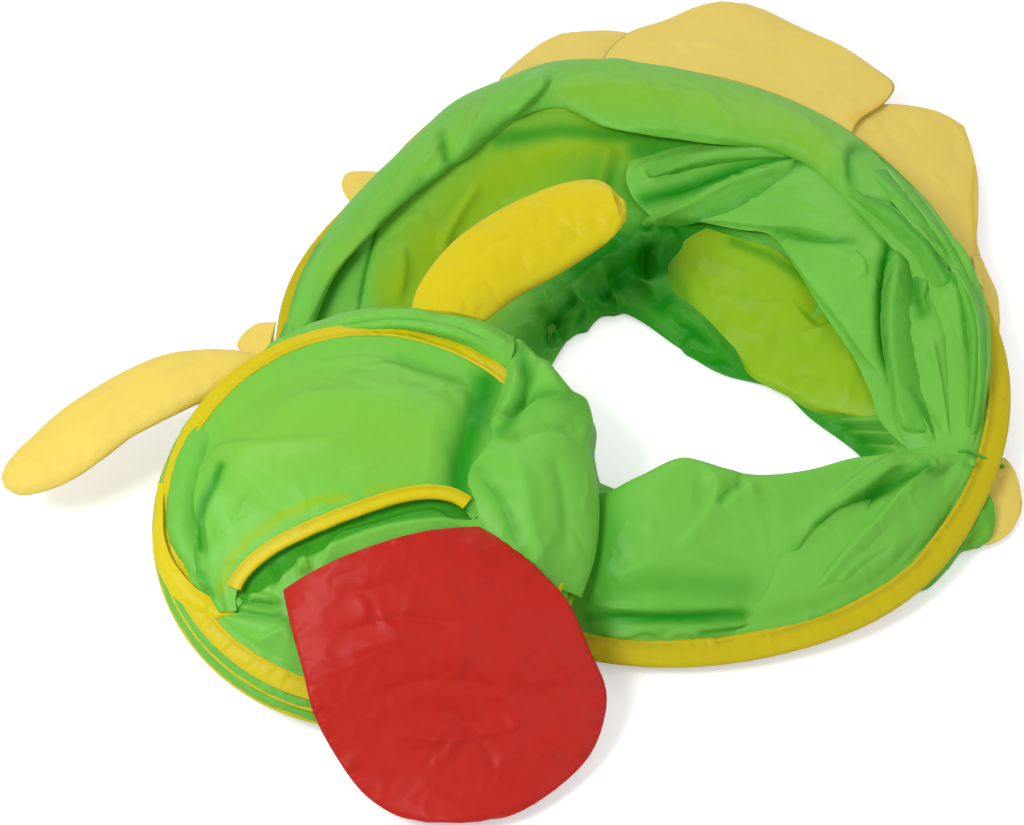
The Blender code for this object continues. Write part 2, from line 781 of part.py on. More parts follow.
def tie_objects(hoop, material, parent):
    """The tie cord hooked round the casing, and its knot on top."""
    reach = hoop.outer / math.cos(CROOK_FACET_HALF) + SEAM_ROOM + TIE_RADIUS / math.cos(math.pi / TIE_SIDES)
    above = hoop.leg_face + SEAM_ROOM + TIE_RADIUS / math.cos(math.pi / TIE_SIDES)
    stop = hoop.leg_end - END_OVERLAP - TIE_RADIUS * 2
    below = hoop.under_leg(stop) + SEAM_ROOM * 2 + TIE_RADIUS / math.cos(math.pi / TIE_SIDES)
    route = [(hoop.leg_end - TIE_RADIUS, above)]
    for turn in TIE_TURNS:
        route.append((reach * math.cos(turn), reach * math.sin(turn)))
    route.append((stop, -below))
    pair = (hoop.angles()[-TIE_CHORD], hoop.angles()[-TIE_CHORD - 1])

    def on_chord(inward, lift):
        return (hoop.place(pair[0], inward, lift) + hoop.place(pair[1], inward, lift)) / 2

    path = [on_chord(inward, lift) for inward, lift in route]
    across = (hoop.place(pair[0], 0, 0) - hoop.place(pair[1], 0, 0)).normalized()
    sections = []
    for i, point in enumerate(path):
        before = path[max(i - 1, 0)]
        after = path[min(i + 1, len(path) - 1)]
        ahead = (after - before).normalized()
        side = ahead.cross(across).normalized()
        ring = []
        for k in range(TIE_SIDES):
            turn = math.tau * k / TIE_SIDES
            ring.append(point + (across * math.cos(turn) + side * math.sin(turn)) * TIE_RADIUS)
        sections.append(ring)
    points, faces = capped_loft(sections)
    cord = add_solid("tie_cord", points, faces, material, parent)
    seat = path[0]
    inward = (on_chord(hoop.leg_end, 0) - on_chord(0, 0)).normalized()
    lift = (on_chord(0, above) - on_chord(0, 0)).normalized()
    centre = seat + inward * (KNOT_RADIUS + SEAM_ROOM) + lift * (KNOT_RADIUS / 2)
    mesh = bmesh.new()
    bmesh.ops.create_icosphere(mesh, subdivisions=1, radius=KNOT_RADIUS)
    points = [v.co + centre for v in mesh.verts]
    faces = [tuple(v.index for v in f.verts) for f in mesh.faces]
    mesh.free()
    knot = add_solid("tie_knot", points, faces, material, parent)
    return cord, knot


def dome_height(x, y):
    """The face dome's height above the front hoop's plane."""
    away = (x * x + y * y) / FRONT_HOOP_RADIUS**2
    return DOME_HEIGHT * (1 - away)


def face_point(across, up):
    """A point of the dome from face sizes: across the mouth, and up from the head's middle."""
    x = across * math.cos(FACE_TURN) - up * math.sin(FACE_TURN)
    y = across * math.sin(FACE_TURN) + up * math.cos(FACE_TURN)
    return Vector((x, y, dome_height(x, y)))


def lip_point(share, top, corner, fullness):
    """A point on a lip, from the left corner at 0 to the right corner at 1. 1 is a plain bow."""
    side = 2 * share - 1
    arch = (1 - abs(side) ** (2 * fullness)) ** (1 / fullness)
    return face_point(MOUTH_CENTRE + MOUTH_HALF_WIDTH * side, corner + (top - corner) * arch)


def panel_grid(hoop, top, corner, fullness, start, end):
    """A face panel from the hem in the casing to a lip. start and end are its corner angles."""
    grid = []
    turns = [a + math.tau * turn for a in hoop.angles() for turn in (-1, 0, 1)]
    room = math.pi / hoop.steps / 8
    between = [a for a in turns if min(start, end) + room < a < max(start, end) - room]
    columns = [start] + sorted(between, reverse=start > end) + [end]
    for angle in columns:
        lip = lip_point((angle - start) / (end - start), top, corner, fullness)
        hem = hoop.on_facet(angle, HEAD_HEM_START)
        leave = hoop.on_facet(angle, hoop.leg_end)
        line = [hem, leave]
        for j in range(1, FACE_ROWS):
            part = j / FACE_ROWS
            x = leave.x + (lip.x - leave.x) * part
            y = leave.y + (lip.y - leave.y) * part
            base = leave.z * (1 - smooth(part * 2)) + dome_height(x, y) * smooth(part * 2)
            line.append(Vector((x, y, base)))
        line.append(lip)
        grid.append(line)
    return grid


def face_corner_angles():
    """Where the mouth's line meets the hoop, as angles in the hoop's space."""
    drop = math.asin(MOUTH_CORNER / FRONT_HOOP_RADIUS)
    return FACE_TURN + math.pi - drop, FACE_TURN + drop


def face_objects(hoop, green, parent):
    """The face panel above the mouth and the chin panel below it."""
    left, right = face_corner_angles()
    turn = MOUTH_SPLIT / FRONT_HOOP_RADIUS
    low = MOUTH_CORNER - MOUTH_SPLIT
    upper = panel_grid(hoop, UPPER_LIP, MOUTH_CORNER, UPPER_LIP_FULLNESS, left - turn, right + turn)
    end = right + math.tau - turn
    lower = panel_grid(hoop, LOWER_LIP, low, LOWER_LIP_FULLNESS, left + turn, end)
    points, faces = sheet_solid(upper, CLOTH, False)
    face = add_solid("face_panel", points, faces, green, parent, hoop.frame)
    points, faces = sheet_solid(lower, CLOTH, False)
    chin = add_solid("chin_panel", points, faces, green, parent, hoop.frame)
    return face, chin


def lip_frames():
    """Places along the upper lip: the edge point, the way along, the way out of the mouth, the lift."""
    frames = []
    count = LIP_STEPS
    for i in range(1, count):
        before, here, after = [
            lip_point((i + step) / count, UPPER_LIP, MOUTH_CORNER, UPPER_LIP_FULLNESS) for step in (-1, 0, 1)
        ]
        along = (after - before).normalized()
        lift = Vector((here.x, here.y, FRONT_HOOP_RADIUS**2 / (2 * DOME_HEIGHT))).normalized()
        into = lift.cross(along).normalized()
        frames.append((here, along, into, lift))
    return frames


def binding_objects(hoop, yellow, steel, parent):
    """The yellow binding folded over the upper lip, with its wire in the fold."""
    gap = CLOTH / 2 + SEAM_ROOM * 2
    wall = BINDING_CLOTH
    fold = MOUTH_WIRE_RADIUS * 2 + SEAM_ROOM * 3
    sections = []
    wires = []
    for here, along, into, lift in lip_frames():
        out = -into
        section = (
            (-BINDING_WIDTH + fold, gap + wall),
            (fold, gap + wall),
            (fold + wall, 0),
            (fold, -gap - wall),
            (-BINDING_WIDTH + fold, -gap - wall),
            (-BINDING_WIDTH + fold, -gap),
            (fold / 2, -gap),
            (fold, 0),
            (fold / 2, gap),
            (-BINDING_WIDTH + fold, gap),
        )
        sections.append([here + out * a + lift * b for a, b in section])
        ring = []
        for k in range(WIRE_SIDES):
            turn = math.tau * k / WIRE_SIDES
            spoke = out * math.cos(turn) + lift * math.sin(turn)
            ring.append(here + out * (MOUTH_WIRE_RADIUS + SEAM_ROOM * 3 / 2) + spoke * MOUTH_WIRE_RADIUS)
        wires.append(ring)
    points, faces = capped_loft(sections)
    binding = add_solid("mouth_binding", points, faces, yellow, parent, hoop.frame)
    points, faces = capped_loft(wires)
    wire = add_solid("mouth_wire", points, faces, steel, parent, hoop.frame)
    return binding, wire


def tongue_sections(skin):
    """Closed sections of the tongue, each side by side across it. skin is taken off all round."""
    sections = []
    rows = len(TONGUE_SHARES)
    for i, (along_share, width_share, sweep_share, drop_share) in enumerate(TONGUE_SHARES):
        along = along_share * (TONGUE_LENGTH - skin * 2)
        if i == 0 and skin:
            along = SEAM_ROOM
        drop = TONGUE_DROP * drop_share
        middle = -TONGUE_SWEEP * sweep_share
        half = TONGUE_WIDTH * width_share / 2 - skin * 3
        body = math.sin(math.pi * min(1, along_share * 0.7 + 0.2)) ** (1 / 2)
        if i == rows - 1:
            body = 0
        ring = []
        for side in (1, -1):
            for k in range(TONGUE_COLUMNS + 1):
                across = (2 * k / TONGUE_COLUMNS - 1) * side
                puff = 1 - abs(across) ** 3
                half_thick = TONGUE_EDGE / 2 + (TONGUE_THICKNESS - TONGUE_EDGE) / 2 * puff * body - skin
                tip = 1 - across * across
                run = along + tip * (TONGUE_LENGTH - skin * 2 - along) * smooth(along_share * 5 - 4)
                ring.append(Vector((middle + across * half, run, side * half_thick - drop)))
        sections.append(ring)
    return sections


def tongue_objects(cover_material, filling_material, frame, parent):
    """The tongue on its hinge: a cover open at the seam and its flat padding."""
    empty = add_empty("tongue_hinge", frame, parent)
    points, faces = open_shell(tongue_sections(0), tongue_sections(CLOTH))
    cover = add_solid("tongue_cover", points, faces, cover_material, empty)
    points, faces = capped_loft(tongue_sections(CLOTH + PAD_ROOM))
    padding = add_solid("tongue_padding", points, faces, filling_material, empty)
    return empty, cover, padding


def horn_sections(side, skin):
    """Closed sections of a horn square to its bent middle line. skin is taken off all round."""
    sections = []
    for share, width_share in HORN_WIDTH_SHARES:
        along = share * (HORN_LENGTH - skin)
        if share == 0 and skin:
            along = skin - HORN_SHELL
        middle = Vector((along, side * HORN_BEND * 4 * share * (1 - share), -HORN_ROOT_RISE))
        ahead = Vector((HORN_LENGTH, side * HORN_BEND * 4 * (1 - 2 * share), 0)).normalized()
        across = Vector((-ahead.y, ahead.x, 0))
        half_width = HORN_WIDTH * width_share / 2 - skin
        half_thick = HORN_THICKNESS * width_share ** (3 / 2) / 2 - skin
        ring = []
        for k in range(HORN_SIDES):
            turn = math.tau * k / HORN_SIDES
            lift = Vector((0, 0, half_thick * math.sin(turn)))
            ring.append(middle + across * (half_width * math.cos(turn)) + lift)
        sections.append(ring)
    return sections


def horn_objects(name, side, frame, cover_material, filling_material, parent):
    """A horn on its hinge: a cover open at the head and its filling."""
    empty = add_empty(name + "_hinge", frame, parent)
    points, faces = open_shell(horn_sections(side, 0), horn_sections(side, HORN_SHELL))
    cover = add_solid(name + "_cover", points, faces, cover_material, empty)
    points, faces = capped_loft(horn_sections(side, HORN_SHELL + PAD_ROOM))
    filling = add_solid(name + "_filling", points, faces, filling_material, empty)
    return empty, cover, filling


def horn_frame(hoop, angle, heading, pitch, roll, side):
    """A horn's hinge just outside the front hoop's casing, with its root clear of the casing."""
    root_heading = heading + side * math.atan(4 * HORN_BEND / HORN_LENGTH)
    half_root = HORN_WIDTH * HORN_WIDTH_SHARES[0][1] / 2
    corner = half_root * abs(math.sin(root_heading - angle)) * math.cos(roll)
    seat = hoop.place(angle, -(hoop.outer + HORN_ROOT_ROOM + corner), 0)
    flat = Vector((seat.x, seat.y, hoop.place(angle, 0, 0).z + half_root * math.sin(abs(roll)) / 4))
    turn = Matrix.Rotation(heading, 4, "Z") @ Matrix.Rotation(-pitch, 4, "Y") @ Matrix.Rotation(roll, 4, "X")
    return Matrix.Translation(flat) @ turn @ Matrix.Translation((0, 0, HORN_ROOT_RISE))


def neck_inner(back):
    """The radius at which the neck's bulge clears the back hoop's casing."""
    return back.radius + back.outer / math.cos(CROOK_FACET_HALF) / math.cos(math.pi / back.steps) + SEAM_ROOM


def neck_object(back, material, parent):
    """The gathered bulge of the neck beside the head: a crescent with a rounded section."""
    inner = neck_inner(back)
    foot = NECK_FOOT
    sections = []
    for i in range(NECK_STEPS + 1):
        share = i / NECK_STEPS
        angle = NECK_START + (NECK_END - NECK_START) * share
        swell = math.sin(math.pi * share) ** (1 / 2) if 0 < i < NECK_STEPS else 0
        depth = CLOTH * 3 + NECK_BULGE * swell
        tall = NECK_HEIGHT * (1 / 3 + swell * 2 / 3)
        ring = []
        for k in range(NECK_SIDES):
            turn = math.tau * (k + 0.5) / NECK_SIDES
            out = inner + depth / 2 * (1 + math.cos(turn) / math.cos(math.pi / NECK_SIDES))
            up = foot + tall / 2 * (1 + math.sin(turn))
            ring.append(Vector((out * math.cos(angle), out * math.sin(angle), up)))
        sections.append(ring)
    points, faces = capped_loft(sections)
    return add_solid("neck_sleeve", points, faces, material, parent, head_frame())


def neck_fold_object(front, back, material, parent):
    """The neck's cloth where it folds over the front casing and lies on the right of the face."""
    outer = neck_inner(back) - NECK_FOLD_EDGE / 2
    seat = front.leg_end * math.sin(front.leg_angle) + front.leg_face * math.cos(front.leg_angle) + SEAM_ROOM
    start = NECK_FOLD_SHARES[0][0]
    end = NECK_FOLD_SHARES[-1][0]
    sections = []
    for i in range(NECK_STEPS + 1):
        share = i / NECK_STEPS
        angle = start + (end - start) * share
        inner = interpolate(NECK_FOLD_SHARES, angle) * front.radius
        swell = NECK_FOLD_SWELL * math.sin(math.pi * share) ** (1 / 2) if 0 < i < NECK_STEPS else 0
        under = []
        over = []
        for j in range(NECK_FOLD_COLUMNS + 1):
            part = j / NECK_FOLD_COLUMNS
            out = outer + (inner - outer) * part
            up = max(seat, dome_height(out, 0) + NECK_FOLD_RISE)
            thick = NECK_FOLD_EDGE + swell * math.sin(math.pi * part)
            under.append(Vector((out * math.cos(angle), out * math.sin(angle), up)))
            over.append(Vector((out * math.cos(angle), out * math.sin(angle), up + thick)))
        sections.append(under + over[::-1])
    points, faces = capped_loft(sections)
    return add_solid("neck_fold", points, faces, material, parent, front.frame)


def tongue_frame(hoop):
    """The tongue's hinge: on the chin below the mouth, along the mouth's line."""
    seat = face_point(TONGUE_CENTRE, TONGUE_SEAM) + Vector((0, 0, TONGUE_RISE))
    turn = Matrix.Rotation(FACE_TURN + math.pi, 4, "Z")
    return hoop.frame @ Matrix.Translation(seat) @ turn


def settle(roots):
    """Moves everything so that the middle of its bounding box stands over the origin."""
    bpy.context.view_layer.update()
    low = Vector((math.inf, math.inf, 0))
    high = Vector((-math.inf, -math.inf, 0))
    for thing in bpy.data.objects:
        if thing.type != "MESH":
            continue
        for vertex in thing.data.vertices:
            point = thing.matrix_world @ vertex.co
            for axis in (0, 1):
                low[axis] = min(low[axis], point[axis])
                high[axis] = max(high[axis], point[axis])
    shift = Matrix.Translation(-(low + high) / 2)
    for root in roots:
        root.matrix_local = shift @ root.matrix_local


def build():
    """Makes every piece in its body."""
    clear_scene()
    green = green_nylon()
    yellow = yellow_nylon()
    pale = pale_yellow_nylon()
    red = red_nylon()
    steel = spring_steel()
    wadding = polyester_wadding()

    still = Matrix.Identity(4)
    tunnel = add_empty("tunnel", still)
    middle_body = add_empty("middle_body", still, tunnel)
    top_body = add_empty("top_body", still, middle_body)
    hoops = body_hoops()
    base, middle, top = hoops
    for hoop, body in zip(hoops, (tunnel, middle_body, top_body)):
        hoop_objects(hoop, steel, yellow, body)
    sleeve_object("lower_sleeve", base, middle, 0, False, green, tunnel)
    sleeve_object("upper_sleeve", middle, top, 2, True, green, middle_body)
    for name, angle, width, reach, hand in FINS:
        fin_object(name, angle, width, reach, hand, top, pale, top_body)
    tie_objects(top, green, top_body)

    hinge = add_empty("head_hinge", Matrix.Translation(HEAD_HINGE), top_body)
    head_body = add_empty("head_body", Matrix.Translation(-Vector(HEAD_HINGE)), hinge)
    head_middle_body = add_empty("head_middle_body", still, head_body)
    head_front_body = add_empty("head_front_body", still, head_middle_body)
    hoops = head_hoops()
    front, head_middle, back = hoops
    for hoop, body in zip(hoops, (head_front_body, head_middle_body, head_body)):
        hoop_objects(hoop, steel, yellow, body)
    pleat_object("head_rear_sleeve", back, head_middle, green, head_body)
    pleat_object("head_front_sleeve", head_middle, front, green, head_middle_body)
    neck_object(back, green, head_body)
    neck_fold_object(front, back, green, head_front_body)
    face_objects(front, green, head_front_body)
    binding_objects(front, yellow, steel, head_front_body)
    tongue_objects(red, wadding, tongue_frame(front), head_front_body)
    pose = (LEFT_HORN_ANGLE, LEFT_HORN_HEADING, LEFT_HORN_PITCH, LEFT_HORN_ROLL)
    left = horn_frame(front, *pose, -1)
    horn_objects("left_horn", -1, left, pale, wadding, head_front_body)
    pose = (RIGHT_HORN_ANGLE, RIGHT_HORN_HEADING, RIGHT_HORN_PITCH, RIGHT_HORN_ROLL)
    right = horn_frame(front, *pose, 1)
    horn_objects("right_horn", 1, right, yellow, wadding, head_front_body)
    settle([tunnel])


build()
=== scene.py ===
import json
import math

import bpy
import numpy as np
from mathutils import Matrix, Vector, kdtree, noise


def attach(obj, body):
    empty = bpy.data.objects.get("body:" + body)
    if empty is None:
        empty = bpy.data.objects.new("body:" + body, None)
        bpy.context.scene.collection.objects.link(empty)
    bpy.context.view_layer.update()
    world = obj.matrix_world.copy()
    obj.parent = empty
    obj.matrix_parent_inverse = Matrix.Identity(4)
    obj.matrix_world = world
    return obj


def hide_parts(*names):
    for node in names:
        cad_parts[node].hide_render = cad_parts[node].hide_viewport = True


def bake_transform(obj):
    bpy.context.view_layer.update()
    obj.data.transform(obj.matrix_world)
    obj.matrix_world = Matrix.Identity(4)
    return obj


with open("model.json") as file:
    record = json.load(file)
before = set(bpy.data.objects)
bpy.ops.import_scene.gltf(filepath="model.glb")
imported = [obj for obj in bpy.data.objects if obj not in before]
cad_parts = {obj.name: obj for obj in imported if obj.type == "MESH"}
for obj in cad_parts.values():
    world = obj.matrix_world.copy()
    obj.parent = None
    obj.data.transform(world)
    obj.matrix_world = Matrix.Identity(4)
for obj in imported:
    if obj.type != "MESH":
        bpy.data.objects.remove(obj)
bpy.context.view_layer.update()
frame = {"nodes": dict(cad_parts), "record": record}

# The camera: the pixel frame of the photograph, and the eye's place round the middle of the ring
FRAME_WIDTH = 1024
FRAME_HEIGHT = 825
FOCAL = 2564
SENSOR_WIDTH = 36
ELEVATION = math.radians(50)
EYE_DISTANCE = 3.0
AIM = (-0.157, -0.137, 0.080)

# The hoops, as the solids have them
BODY_LEG_TILT = math.radians(20)
BODY_OVAL = 0.025
BODY_OVAL_TURN = math.radians(118)
BODY_PULLS = ((143, 20, -0.080), (21, 22, -0.040), (-52, 16, 0.020))
BODY_CROOK = 0.0056
BODY_BAND = 0.0244
BASE_RADIUS = 0.413
MIDDLE_RADIUS = 0.429
TOP_RADIUS = 0.445
BASE_NEAR = 0.0056
NEST_RISE = 0.0084
MIDDLE_FAR = 0.0450
TOP_FAR = 0.0820
HEAD_CENTRE = (-0.315, -0.312, 0.122)
HEAD_TIP_BACK = math.radians(14)
HEAD_TIP_SIDE = math.radians(2)
HEAD_LEG_TILT = math.radians(28)
HEAD_CROOK = 0.0050
HEAD_BAND = 0.0170
FRONT_RADIUS = 0.228
HEAD_GROWTH = 0.006
HEAD_PITCH = 0.019
DOME_HEIGHT = 0.065
FACE_TURN = math.radians(22)
MOUTH_CENTRE = -0.042
MOUTH_HALF = 0.137
MOUTH_CORNER = -0.070
MOUTH_SPLIT = 0.0036
UPPER_LIP = -0.027
LOWER_LIP = -0.052

HEAD_HINGE = (0, -0.300, 0.050)
hinge_row = next(row for row in frame["record"]["behaviour"]["joints"] if row["name"] == "head_lift")
RING = np.array([hinge_row["pos_m"][0] - HEAD_HINGE[0], hinge_row["pos_m"][1] - HEAD_HINGE[1], 0])

FORWARD = np.array([0, math.cos(ELEVATION), -math.sin(ELEVATION)])
RIGHT = np.array([1.0, 0, 0])
UP = np.cross(RIGHT, FORWARD)
EYE = RING + np.array(AIM) - FORWARD * EYE_DISTANCE

# How folds fall off, how laid strips find the cloth below them, and how sheets buckle
FOLD_POWER = 1.35
NEIGHBOURS = 14
NEAR_PIXELS = 3
NEAR_SOFTNESS = 0.6
SAME_LAYER = 0.010
SUNK_END = 8
BUCKLE_ROUNDS = 26
BUCKLE_BEND = 0.10
BUCKLE_WAVE = 0.035
BUCKLE_START = 0.0010
STRAIGHT_SHARE = 0.5
SLANT_SHARE = 0.2

# Heights that cloth doesn't sink below
WALL_FOOT = 0.0024
UNDER_FOOT = 0.0018
SIDE_FOOT = 0.0013
CLOTH_FOOT = 0.0012


# Placing by the photograph's pixels

def seen(points):
    """The pixels at which points are seen."""
    way = np.asarray(points, float) - EYE
    deep = way @ FORWARD
    x = FRAME_WIDTH / 2 + FOCAL * (way @ RIGHT) / deep
    y = FRAME_HEIGHT / 2 - FOCAL * (way @ UP) / deep
    return np.stack([x, y], -1)


def rays(spots):
    """The directions in which pixels are seen, from rows whose first two values are x and y."""
    x = (spots[..., 0:1] - FRAME_WIDTH / 2) / FOCAL
    y = (spots[..., 1:2] - FRAME_HEIGHT / 2) / FOCAL
    return FORWARD + RIGHT * x - UP * y


def at(spots, matrix=Matrix.Identity(4)):
    """Points seen at pixels, from rows of x, y and the height in millimetres above the floor or a hoop's own plane."""
    spots = np.asarray(spots, float)
    turn = np.array(matrix)
    up = turn[:3, 2]
    ray = rays(spots)
    far = (spots[..., 2:3] / 1000 - ((EYE - RING - turn[:3, 3]) * up).sum()) / (ray * up).sum(-1, keepdims=True)
    return EYE + ray * far


def spline(points, count, closed=False):
    """A smooth run of count points through a row of points, evenly spread by their own spacing."""
    points = np.asarray(points, float)
    if closed:
        points = np.concatenate([points, points[:1]])
    gaps = np.linalg.norm(np.diff(points.reshape(len(points), -1), axis=0), axis=1) ** 0.5
    knots = np.concatenate([[0], np.cumsum(np.maximum(gaps, 1e-9))])
    slopes = np.zeros_like(points)
    steps = np.diff(knots)
    runs = np.diff(points, axis=0) / steps.reshape((-1,) + (1,) * (points.ndim - 1))
    share = (steps[1:] / (steps[:-1] + steps[1:])).reshape((-1,) + (1,) * (points.ndim - 1))
    slopes[1:-1] = runs[:-1] * share + runs[1:] * (1 - share)
    if closed:
        slopes[0] = slopes[-1] = (runs[0] + runs[-1]) / 2
    else:
        slopes[0] = runs[0]
        slopes[-1] = runs[-1]
    places = np.linspace(0, knots[-1], count + 1 if closed else count)
    if closed:
        places = places[:-1]
    cell = np.clip(np.searchsorted(knots, places, side="right") - 1, 0, len(steps) - 1)
    shape = (-1,) + (1,) * (points.ndim - 1)
    h = steps[cell].reshape(shape)
    t = ((places - knots[cell]) / steps[cell]).reshape(shape)
    a = (1 + 2 * t) * (1 - t) ** 2
    b = t * (1 - t) ** 2
    c = t * t * (3 - 2 * t)
    d = t * t * (t - 1)
    return a * points[cell] + b * h * slopes[cell] + c * points[cell + 1] + d * h * slopes[cell + 1]


def net(rows, across, along):
    """A smooth grid through a net of points: each row is one line across."""
    rows = np.asarray([spline(row, across) for row in rows])
    return spline(rows, along)


def across_lines(lines, count):
    """A grid from matching lines: each of its rows is a smooth run of count points from the first to the last."""
    return np.array([spline(row, count) for row in np.stack(lines, 1)])


def normals_of(grid, closed):
    """Unit normals of a grid."""
    if closed:
        wide = np.concatenate([grid[-1:], grid, grid[:1]])
        down = (wide[2:] - wide[:-2]) / 2
    else:
        down = np.gradient(grid, axis=0)
    side = np.gradient(grid, axis=1)
    cross = np.cross(down, side)
    return cross / (np.linalg.norm(cross, axis=-1, keepdims=True) + 1e-12)


def facing(grid, closed=False):
    """Unit normals turned to the eye's side as a whole."""
    normals = normals_of(grid, closed)
    if (normals * (EYE - grid)).sum(-1).mean() < 0:
        normals = -normals
    return normals


def line_distance(pixels, line):
    """The distance in pixels to a line of pixels, the share along it, and 1 or -1 for the side.

    The side is 1 to the right of the way that the line runs, as it is seen.
    """
    line = np.asarray(line, float)
    best = np.full(pixels.shape[:-1], 1e9)
    share = np.zeros(pixels.shape[:-1])
    side = np.ones(pixels.shape[:-1])
    lengths = np.linalg.norm(np.diff(line, axis=0), axis=1)
    total = lengths.sum()
    start = 0
    for a, b, length in zip(line, line[1:], lengths):
        way = (b - a) / length
        off = pixels - a
        t = np.clip(off @ way, 0, length)
        gap = np.linalg.norm(off - t[..., None] * way, axis=-1)
        near = gap < best
        best = np.where(near, gap, best)
        share = np.where(near, (start + t) / total, share)
        side = np.where(near, np.sign(way[0] * off[..., 1] - way[1] * off[..., 0]), side)
        start += length
    return best, share, side


def folded(grid, folds, closed=False):
    """Raises folds on a grid. Each is a height in millimetres, a width and a line in pixels.

    A fourth value of 1 or -1 lets the fold fall off slowly to the right or the left of its line,
    and steeply to the other side, as cloth does that lies over itself.
    """
    pixels = seen(grid)
    rise = np.zeros(grid.shape[:-1])
    for height, width, line, *lean in folds:
        smooth_line = spline(line, 6 * len(line)) if len(line) > 2 else line
        gap, share, side = line_distance(pixels, smooth_line)
        ends = np.clip(np.minimum(share, 1 - share) * 4, 0, 1)
        ends = ends * ends * (3 - 2 * ends)
        wide = width * (0.95 + 0.45 * np.clip(gap * side * lean[0] / 3, -1, 1)) if lean else width
        rise += height / 1000 * np.exp(-((gap / wide) ** FOLD_POWER)) * ends
    return grid + facing(grid, closed) * smoothed(rise, closed, 2)[..., None]


def laid(rows, across, along, folds=(), matrix=Matrix.Identity(4)):
    """A smooth grid through rows of pixels and heights, with its folds raised."""
    grid = net([at(row, matrix) for row in rows], across, along)
    return folded(grid, folds) if folds else grid


def laid_over(rows, grid, across, along):
    """A net that lies over a grid as it is seen, from rows of x, y and the lift off it in millimetres."""
    spots = net([np.asarray(row, float) for row in rows], across, along)
    points = grid[::2, ::2].reshape(-1, 3)
    depths = (points - EYE) @ FORWARD
    tree = kdtree.KDTree(len(points))
    for i, (x, y) in enumerate(seen(points)):
        tree.insert((x, y, 0), i)
    tree.balance()
    far = np.zeros(spots.shape[:2])
    for place in np.ndindex(*far.shape):
        found = tree.find_n((spots[place][0], spots[place][1], 0), NEIGHBOURS)
        gaps = np.array([gap for _, _, gap in found])
        depth = depths[[i for _, i, _ in found]]
        front = depth < depth[gaps < gaps[0] + NEAR_PIXELS].min() + SAME_LAYER
        weight = front / (gaps**2 + NEAR_SOFTNESS)
        far[place] = (weight * depth).sum() / weight.sum()
    sunk = SUNK_END * (1 - held_edges(spots, first=0.08, last=0.08))
    far = smoothed(far, False, 6) - (spots[..., 2] - sunk) / 1000
    return EYE + rays(spots) * far[..., None]


def field(points, scale, seed, ridged=False):
    """Smooth noise at each point, from -1 to 1. scale is the size of its waves in metres."""
    points = np.asarray(points, float)
    flat = points.reshape(-1, 3) / scale
    values = np.array([noise.noise((x + seed, y - seed, z + 2 * seed)) for x, y, z in flat])
    if ridged:
        values = 1 - 2 * np.abs(values) ** 0.7
    return values.reshape(points.shape[:-1])


def resized(values, rows, columns, closed):
    """Values on a grid, spread evenly to another count of rows and columns."""
    old_rows, old_columns = values.shape[:2]
    if closed:
        place = np.arange(rows) * old_rows / rows
    else:
        place = np.linspace(0, old_rows - 1, rows)
    low = np.floor(place).astype(int)
    part = (place - low).reshape((-1,) + (1,) * (values.ndim - 1))
    high = (low + 1) % old_rows if closed else np.minimum(low + 1, old_rows - 1)
    values = values[low] * (1 - part) + values[high] * part
    place = np.linspace(0, old_columns - 1, columns)
    low = np.floor(place).astype(int)
    high = np.minimum(low + 1, old_columns - 1)
    part = (place - low).reshape((1, -1) + (1,) * (values.ndim - 2))
    return values[:, low] * (1 - part) + values[:, high] * part


def smoothed(values, closed, rounds=1):
    """Each value moved to the mean of its neighbours on the grid."""
    for _ in range(rounds):
        ends = "wrap" if closed else "edge"
        rest = ((0, 0),) * (values.ndim - 1)
        rows = np.pad(values, ((1, 1),) + rest, ends)
        columns = np.pad(values, ((0, 0), (1, 1)) + rest[1:], "edge")
        values = (rows[:-2] + rows[2:] + columns[:, :-2] + columns[:, 2:] + 2 * values) / 6
    return values


def buckled(grid, along, across, free, seed, hold=0.004, coarse=4, closed=False):
    """Lets a sheet buckle by itself, as cloth does that is longer than the room it has.

    along and across are how much longer it is down and across the grid, as shares, and free is 0
    where the cloth is held. hold draws it back a little in each round. It is worked out on a coarse
    grid first, and then on finer ones.
    """
    lift = None
    level = coarse
    while level >= 1:
        rows = max(8, grid.shape[0] // level)
        columns = max(8, grid.shape[1] // level)
        base = resized(grid, rows, columns, closed)
        loose, grow_down, grow_side = (
            resized(np.broadcast_to(values, grid.shape[:2]), rows, columns, closed)[..., None]
            for values in (free, along, across)
        )
        if lift is None:
            start = field(base, BUCKLE_WAVE, seed) * BUCKLE_START
            lift = normals_of(base, closed) * start[..., None] * loose
        else:
            lift = resized(lift, rows, columns, closed)
        points = base + lift
        links = []
        for down, side in ((1, 0), (0, 1), (1, 1), (1, -1)):
            step = np.roll(base, (-down, -side), (0, 1)) - base
            ahead = (np.roll(base, -1, 0) - base) * down
            beside = step - ahead
            rest = np.linalg.norm(ahead * (1 + grow_down) + beside * (1 + grow_side), axis=-1, keepdims=True)
            alive = np.ones((rows, columns, 1))
            if down and not closed:
                alive[-1] = 0
            if side:
                alive[:, -1 if side == 1 else 0] = 0
            links.append((down, side, rest, alive * (SLANT_SHARE if down and side else STRAIGHT_SHARE)))
        for _ in range(BUCKLE_ROUNDS):
            for down, side, rest, share in links:
                step = np.roll(points, (-down, -side), (0, 1)) - points
                length = np.linalg.norm(step, axis=-1, keepdims=True) + 1e-9
                move = step * ((length - rest) / length * share)
                points = points + (move - np.roll(move, (down, side), (0, 1))) * loose
            lift = (points - base) * (1 - hold)
            lift = lift + (smoothed(lift, closed) - lift) * BUCKLE_BEND
            points = base + lift * (loose > 0)
            points[..., 2] = np.maximum(points[..., 2], np.minimum(base[..., 2], CLOTH_FOOT))
        lift = points - base
        level //= 2
    return resized(grid, *grid.shape[:2], closed) + lift


